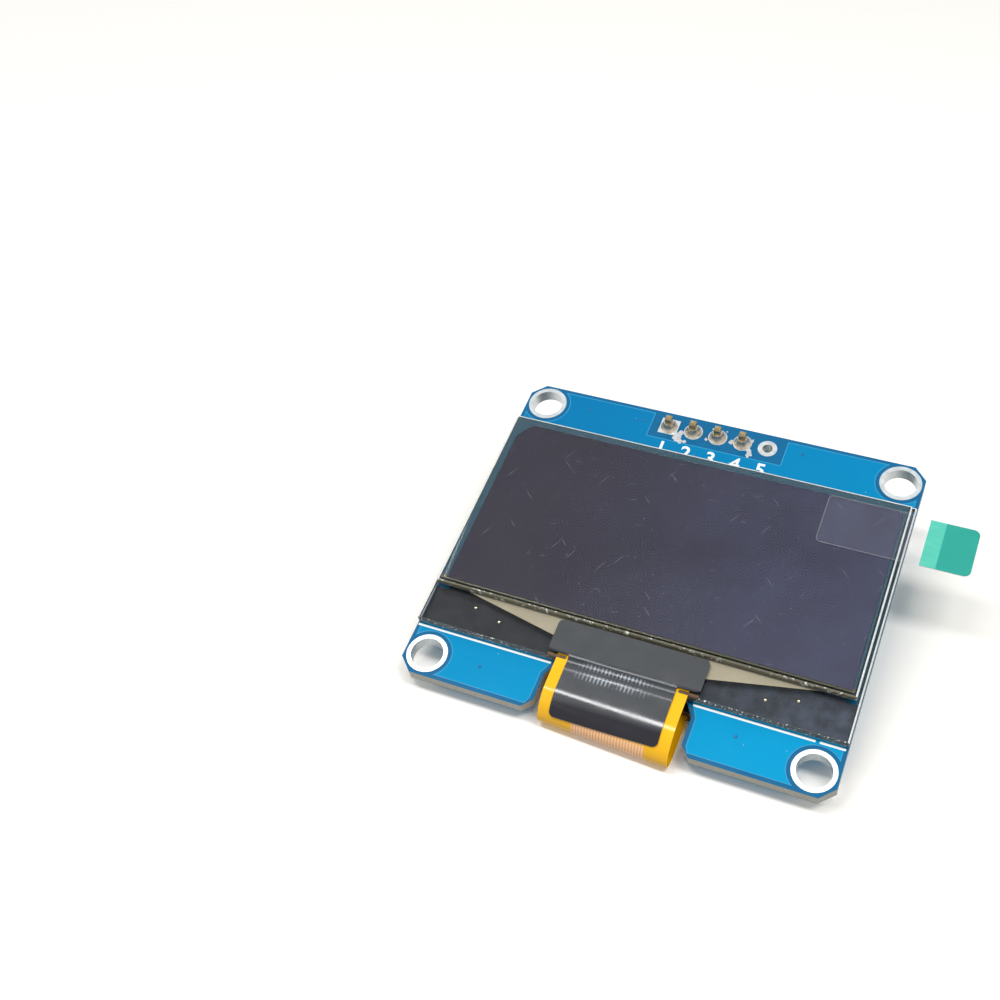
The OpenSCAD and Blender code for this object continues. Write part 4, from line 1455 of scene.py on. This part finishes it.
    def alignment_marks(self) -> None:
        """Adds the four bright ring marks on the ledge."""
        z = limits("lower_glass")[1].z
        dots = []
        for spot in self.dots:
            dot = Bench.disc("mark", (*spot, z), self.dot_radius, self.dot_mm, 20)
            Bench.inset(dot, self.dot_ring)
            dots.append(dot)
        piece = Bench.join("alignment_marks", dots)
        self.palette.fix(piece, Finishes.MARKS, "track_metal")


# ---- The flex and its cover tape ----


def weights(t: float) -> tuple[float, ...]:
    """Returns how much each of a curve's four handles counts at a share of its way."""
    return (1 - t) ** 3, 3 * t * (1 - t) ** 2, 3 * t * t * (1 - t), t**3


def hump(value: float, middle: float, width: float) -> float:
    """Returns a soft hump, one high, at a value."""
    return math.exp(-(((value - middle) / width) ** 2))


@dataclass
class Fold:
    """Middle line of the folded flex, which reaches further out on one side."""

    bond_y: float = -11.35
    start_y: float = -15.55
    end_y: float = -16.35
    slot_y: float = -9.05
    top_z: float = 0.98
    slot_z: float = -2.2
    reach: float = -18.33
    skew: float = -0.35
    half_w: float = 6.2
    slant: float = 0.9
    peak: float = 0.6
    length: float = 6.3  # length of the curved part, used to space points along it
    tape_share: float = 0.36  # share of the curve that the cover tape covers

    def handles(self, x: float) -> list[Pair]:
        """Returns the curve's four handles as y and z at a place across the flex."""
        first, second, third, last = weights(self.peak)
        out = self.reach + self.skew * x / self.half_w
        lean = self.slant * (second - third)
        y = (out - first * self.start_y - last * self.end_y - lean) / (second + third)
        return [
            (self.start_y, self.top_z), (y + self.slant, self.top_z),
            (y - self.slant, self.slot_z), (self.end_y, self.slot_z),
        ]

    def place(self, x: float, along: float, out: float) -> Pair:
        """Finds a point on the flex.

        Args:
            x: Place across the flex in millimetres.
            along: Way along it from the bond, in millimetres.
            out: Distance outside the middle line.

        Returns:
            The point's y and z in millimetres.
        """
        straight = self.bond_y - self.start_y
        if along <= straight:
            return self.bond_y - along, self.top_z + out
        t = (along - straight) / self.length
        if t >= 1:
            return self.end_y + (along - straight - self.length), self.slot_z - out
        h = self.handles(x)
        y, z = (sum(w * p[k] for w, p in zip(weights(t), h)) for k in (0, 1))
        steps = ((1 - t) ** 2, 2 * t * (1 - t), t * t)
        dy, dz = (
            sum(s * (h[i + 1][k] - h[i][k]) for i, s in enumerate(steps)) for k in (0, 1)
        )
        n = math.hypot(dy, dz) or 1.0
        return y + out * dz / n, z - out * dy / n


@dataclass
class Flex:
    """Flex circuit, its cover tape and the glue beads."""

    palette: Palette
    fold: Fold = field(default_factory=Fold)
    thick: float = 0.12
    tape_thick: float = 0.1
    glue_mm: float = 0.02  # between the flex and the tape
    head_half: float = 7.2
    head_top: float = -8.85
    head_low: float = -12.2
    stem_half: float = 5.1
    ramp: Pair = (-12.1, -12.75)
    chip_z: float = 1.19
    rest_z: float = 1.06
    corner: float = 0.5
    sag: Pair = (6.4, 0.02)  # where the head's ends begin to sag, and by what slope
    tape_slant: float = 0.17  # share by which the tape reaches further round on its left
    # Crease above and press line below the step: rise, level and half width
    folds: tuple[Point, ...] = ((0.03, -13.35, 0.16), (-0.03, -12.9, 0.14))
    ripple_x: Pair = (-3.6, 2.7)
    ripple_y: Pair = (-12.95, 0.62)  # level and half width
    ripple_mm: float = 0.36
    ripple_high: float = 0.02
    slices: int = 90  # cuts across the tape, so that it bends smoothly
    # First, step and number of the cuts along the tape on each side of the ripples
    outer_cuts: tuple[float, float, int] = (3.9, 0.5, 7)

    def build(self) -> None:
        """Builds the flex and the tape and dresses the glue."""
        self.film()
        self.tape()
        self.palette.dress_solids(("bond_glue", Finishes.GLUE))

    def film(self) -> None:
        """Bends a fine sheet along the fold in place of the faceted solid."""
        f = self.fold
        total = (f.bond_y - f.start_y) + f.length + (f.slot_y - f.end_y)
        Bench.clear()
        bpy.ops.mesh.primitive_grid_add(x_subdivisions=24, y_subdivisions=110, size=1)
        sheet = Bench.name("flex_film")
        for corner in sheet.data.vertices:
            x = corner.co.x * 2 * f.half_w
            along = (0.5 - corner.co.y) * total
            corner.co = Vector((x, *f.place(x, along, 0.0))) * SCALE
        Bench.edit(sheet)
        bpy.ops.mesh.select_all(action="SELECT")
        bpy.ops.mesh.normals_make_consistent(inside=False)
        Bench.done()
        self.thicken(sheet, self.thick)
        self.palette.fix(sheet, Finishes.POLYIMIDE, "polyimide", "flex_circuit")

    def thicken(self, sheet: Thing, thick: float) -> None:
        """Gives a bent sheet its thickness in millimetres and shades it smooth."""
        Bench.modify(sheet, "SOLIDIFY", thickness=thick * SCALE, offset=0.0)
        Bench.smooth(sheet, 40)

    def tape(self) -> None:
        """Cuts a flat T with rounded corners and lays it over the chip and the fold."""
        length = self.head_top - self.fold.start_y + self.fold.tape_share * self.fold.length
        sheet = self.flat_tape(length)
        Bench.edit(sheet)
        for i in range(1, self.slices):
            Bench.slice((0, -length * i / self.slices, 0), (0, 1, 0))
        start, end = self.ripple_x
        fine = round((end - start) / self.ripple_mm * 6)
        across = [start + (end - start) * i / fine for i in range(fine + 1)]
        first, gap, count = self.outer_cuts
        across += [side * (first + gap * i) for side in (-1, 1) for i in range(count)]
        for x in across:
            Bench.slice((x, 0, 0), (1, 0, 0))
        Bench.done()
        for corner in sheet.data.vertices:
            corner.co = self.laid(corner.co.x / SCALE, -corner.co.y / SCALE) * SCALE
        self.thicken(sheet, self.tape_thick)
        self.palette.fix(sheet, Finishes.COVER_TAPE, "dark_tape", "cover_tape")

    def flat_tape(self, length: float) -> Thing:
        """Cuts the flat T from a block's face and rounds its outer corners.

        Args:
            length: The tape's length in millimetres.

        Returns:
            The flat sheet.
        """
        stem, head = self.stem_half * SCALE, (self.head_top - self.head_low) * SCALE
        sheet = Bench.block("tape_sheet", (-self.head_half, -length, 0), (self.head_half, 0, 0.4))
        Bench.edit(sheet)
        Bench.pick(sheet, "faces", lambda f: f.normal.z < 0.5)
        bpy.ops.mesh.delete(type="FACE")
        for side in (-1, 1):
            Bench.slice((side * self.stem_half, 0, 0), (1, 0, 0))
        Bench.slice((0, self.head_low - self.head_top, 0), (0, 1, 0))

        def beside(face: bmesh.types.BMFace) -> bool:
            """Says whether a face lies beside the stem."""
            middle = face.calc_center_median()
            return abs(middle.x) > stem and middle.y < -head

        Bench.pick(sheet, "faces", beside)
        bpy.ops.mesh.delete(type="FACE")
        bpy.ops.mesh.select_all(action="SELECT")
        bpy.ops.mesh.dissolve_limited(angle_limit=0.01)
        Bench.done()
        Bench.edit(sheet, "VERT")
        Bench.pick(
            sheet, "verts", lambda v: abs(abs(v.co.x) - stem) > 1e-6 or v.co.y < -head - 1e-6
        )
        bpy.ops.mesh.bevel(offset=self.corner * SCALE, segments=6, affect="VERTICES")
        Bench.done()
        return sheet

    def laid(self, x: float, along: float) -> Vector:
        """Finds where a point of the flat tape comes to lie.

        Args:
            x: Place across the tape in millimetres.
            along: Distance from the tape's top edge in millimetres.

        Returns:
            The point in millimetres.
        """
        y = self.head_top - along
        half = self.tape_thick / 2
        if y > self.ramp[0]:
            start, slope = self.sag
            return Vector((x, y, self.chip_z + half - slope * max(0.0, abs(x) - start)))
        if y > self.ramp[1]:
            share = (self.ramp[0] - y) / (self.ramp[0] - self.ramp[1])
            share = share * share * (3 - 2 * share)
            z = self.chip_z + (self.rest_z - self.chip_z) * share
            return Vector((x, y, z + half + self.ripple(x, y)))
        straight = self.fold.bond_y - self.fold.start_y
        way = self.fold.bond_y - y
        way += max(0.0, way - straight) * self.tape_slant * -x / self.fold.half_w
        fy, fz = self.fold.place(x, way, self.thick / 2 + self.glue_mm + half)
        creased = sum(rise * hump(y, level, width) for rise, level, width in self.folds)
        return Vector((x, fy, fz + creased + self.ripple(x, y)))

    def ripple(self, x: float, y: float) -> float:
        """Returns how far the tape stands up over the contact bumps, in millimetres."""
        start, end = self.ripple_x
        if not start < x < end:
            return 0.0
        swell = math.sin(math.pi * (x - start) / (end - start)) * hump(y, *self.ripple_y)
        wave = math.sin(2 * math.pi * (x + 0.2 * y) / self.ripple_mm)
        return self.ripple_high * swell * (1 + wave)


# ---- The pull tab ----


@dataclass
class PullTab:
    """Clear tape with a green flag that peels the film off."""

    palette: Palette
    air: float = 0.006
    corner: float = 0.5
    rim: float = 0.07  # width of the whitened cut edge

    def build(self) -> None:
        """Builds the tape sheet over its solid and dresses the flag."""
        low, high = limits("pull_tape")
        lowest = (low.x, low.y, low.z + self.air)
        tape = Bench.block("pull_tape_sheet", lowest, (high.x, high.y, high.z))
        Bench.round_corners(tape, self.corner, 6)
        Bench.inset(tape, (self.rim, 0.0))
        Bench.smooth(tape, 20)
        self.palette.dress(tape, Finishes.CLEAR_TAPE)
        tape.data.materials.append(self.palette.get(Finishes.TAPE_RIM))
        for polygon in tape.data.polygons:
            on_rim = polygon.normal.z > FLAT and not polygon.select
            polygon.material_index = 1 if on_rim else 0
        Bench.mount(tape, "clear_tape", "pull_tape")
        self.palette.dress_solids(("tab_flag", Finishes.FLAG))


# ---- The parts on the back ----


@dataclass
class RearParts:
    """Connector, regulator and chip parts behind the board."""

    palette: Palette

    def build(self) -> None:
        """Gives every rear part its finish, and the moulded ones their rounded edges."""
        for node, finish, slot, width in (
            ("cable_connector", Finishes.NYLON, "connector_nylon", 0.1),
            ("zif_housing", Finishes.ZIF_PLASTIC, "zif_plastic", 0.05),
            ("zif_slider", Finishes.SLIDER_PLASTIC, "slider_plastic", 0.05),
            ("regulator_body", Finishes.PACKAGE, "package_plastic", 0.06),
            ("diode_body", Finishes.PACKAGE, "package_plastic", 0.06),
            ("capacitor_bodies", Finishes.CERAMIC_TAN, "capacitor_ceramic", 0.03),
            ("resistor_bodies", Finishes.GLAZE_BLACK, "resistor_ceramic", 0.02),
        ):
            self.moulded(node, finish, slot, width)
        self.palette.dress_solids(
            ("zif_contacts", Finishes.GOLD_FLASH), ("zif_anchors", Finishes.LEVELLED_TIN),
            ("capacitor_caps", Finishes.SOLDER), ("resistor_caps", Finishes.SOLDER),
            ("regulator_leads", Finishes.LEVELLED_TIN), ("diode_leads", Finishes.LEVELLED_TIN),
        )

    def moulded(self, node: str, finish: Finishes, slot: str, width: float) -> None:
        """Builds a moulded part with rounded edges from a copy of its solid.

        Args:
            node: The CAD node it stands for.
            finish: Its finish.
            slot: The record's material slot.
            width: Width of the rounded edges in millimetres.
        """
        Bench.clear()
        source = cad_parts[node]
        part = bpy.data.objects.new(node + "_moulded", source.data.copy())
        bpy.context.collection.objects.link(part)
        Bench.edit(part, "VERT")
        bpy.ops.mesh.select_all(action="SELECT")
        bpy.ops.mesh.remove_doubles(threshold=0.002 * SCALE)
        bpy.ops.mesh.dissolve_limited(angle_limit=math.radians(1))
        Bench.done()
        Bench.soften(part, width)
        self.palette.fix(part, finish, slot, node)


# ---- The room ----


@dataclass
class Lamp:
    """One soft box, aimed at the module."""

    name: str
    place: Point
    size: Pair
    power: float

    def build(self) -> None:
        """Hangs the soft box and turns it to the module."""
        Bench.clear()
        spot = Vector(self.place) * SCALE
        bpy.ops.object.light_add(type="AREA", location=spot)
        lamp = bpy.context.object
        lamp.name = self.name
        back = spot.normalized()
        up = back.cross(Vector((1, 0, 0))).normalized()
        lamp.rotation_euler = Matrix((up.cross(back), up, back)).transposed().to_euler()
        lamp.data.shape = "RECTANGLE"
        lamp.data.size, lamp.data.size_y = (side * SCALE for side in self.size)
        lamp.data.energy = self.power


@dataclass
class Studio:
    """Floor, soft light and camera."""

    slope: float = -0.1985  # the module leans on its rear connector
    touch: Point = (0.0, -13.1, -3.12)
    fade: Pair = (110.0, 260.0)  # where the floor melts into the white room
    glow: float = 0.42  # the room's light where it isn't seen itself
    lamps: tuple[Lamp, ...] = (
        Lamp("key_softbox", (125, 40, 290), (170, 66), 0.46),
        Lamp("rim_strip", (-110, 40, 300), (240, 52), 0.45),
        Lamp("fill_softbox", (-260, -190, 330), (260, 260), 0.3),
    )
    lens: float = 48.08
    eye: Point = (26.382, -62.408, 107.518)
    turn: tuple[Point, Point, Point] = (
        (0.9127, 0.3803, -0.1494), (-0.2337, 0.7858, 0.5726), (0.3351, -0.4877, 0.8061),
    )

    def build(self) -> None:
        """Sets the floor, the lamps, the surroundings and the camera."""
        self.floor()
        for lamp in self.lamps:
            lamp.build()
        self.surroundings()
        self.camera()
        bpy.context.scene.view_settings.view_transform = "Standard"

    def floor(self) -> None:
        """Lays a pale sheet under the module, seen from above and kept from shading its back."""
        Bench.clear()
        bpy.ops.mesh.primitive_grid_add(x_subdivisions=2, y_subdivisions=2, size=1.6)
        sheet = Bench.name("floor_sheet")
        _, y, z = (c * SCALE for c in self.touch)
        for corner in sheet.data.vertices:
            corner.co.z = z + self.slope * (corner.co.y - y)
        made = bpy.data.materials.new("white_paper_floor")
        skin = Skin(made)
        paper = skin.add("BsdfPrincipled", {"Base Color": "#FFFCF6", "Roughness": 0.9})
        clear = skin.add("BsdfTransparent")
        back = skin.add("NewGeometry").outputs["Backfacing"]
        away = {0: skin.coordinates["Object"]}
        far = skin.add("VectorMath", away, operation="LENGTH").outputs["Value"]
        start, end = (reach * SCALE for reach in self.fade)
        fade = skin.add("MapRange", {0: far, 1: start, 2: end}).outputs[0]
        soft = skin.add("LightPath").outputs["Is Diffuse Ray"]
        gone = skin.merge(back, fade, soft, operation="MAXIMUM")
        mix = skin.add("MixShader", {0: gone, 1: paper.outputs[0], 2: clear.outputs[0]})
        skin.add("OutputMaterial", {"Surface": mix.outputs[0]})
        sheet.data.materials.append(made)

    def surroundings(self) -> None:
        """Makes the white room: plain white where it is seen, softer where it only lights."""
        world = bpy.data.worlds.new("white_room")
        bpy.context.scene.world = world
        skin = Skin(world)
        rays = skin.add("LightPath").outputs
        kinds = [rays[f"Is {kind} Ray"] for kind in ("Camera", "Glossy", "Transmission")]
        seen = skin.merge(*kinds, operation="MAXIMUM")
        light = skin.add("MapRange", {0: seen, 3: self.glow, 4: 1.0}).outputs[0]
        room = skin.add("Background", {"Color": "#FFFFFF", "Strength": light})
        skin.add("OutputWorld", {"Surface": room.outputs[0]})

    def camera(self) -> None:
        """Stands the camera where the module is seen from."""
        Bench.clear()
        bpy.ops.object.camera_add(location=Vector(self.eye) * SCALE)
        eye = bpy.context.object
        eye.name = "studio_camera"
        eye.data.lens = self.lens
        eye.data.sensor_width = 36
        eye.data.clip_start = 0.001
        eye.data.clip_end = 10
        eye.rotation_euler = Matrix(self.turn).transposed().to_euler()
        bpy.context.scene.camera = eye


def main() -> None:
    """Builds the module and its room."""
    logging.basicConfig(level=logging.INFO, format="%(message)s")
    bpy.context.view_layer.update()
    palette = Palette()
    parts = (Board, Header, Panel, Flex, PullTab, RearParts)
    for part in (Studio(), *(kind(palette) for kind in parts)):
        part.build()
        log.info("built %s", type(part).__name__)
    Bench.clear()


if __name__ == "__main__":
    main()
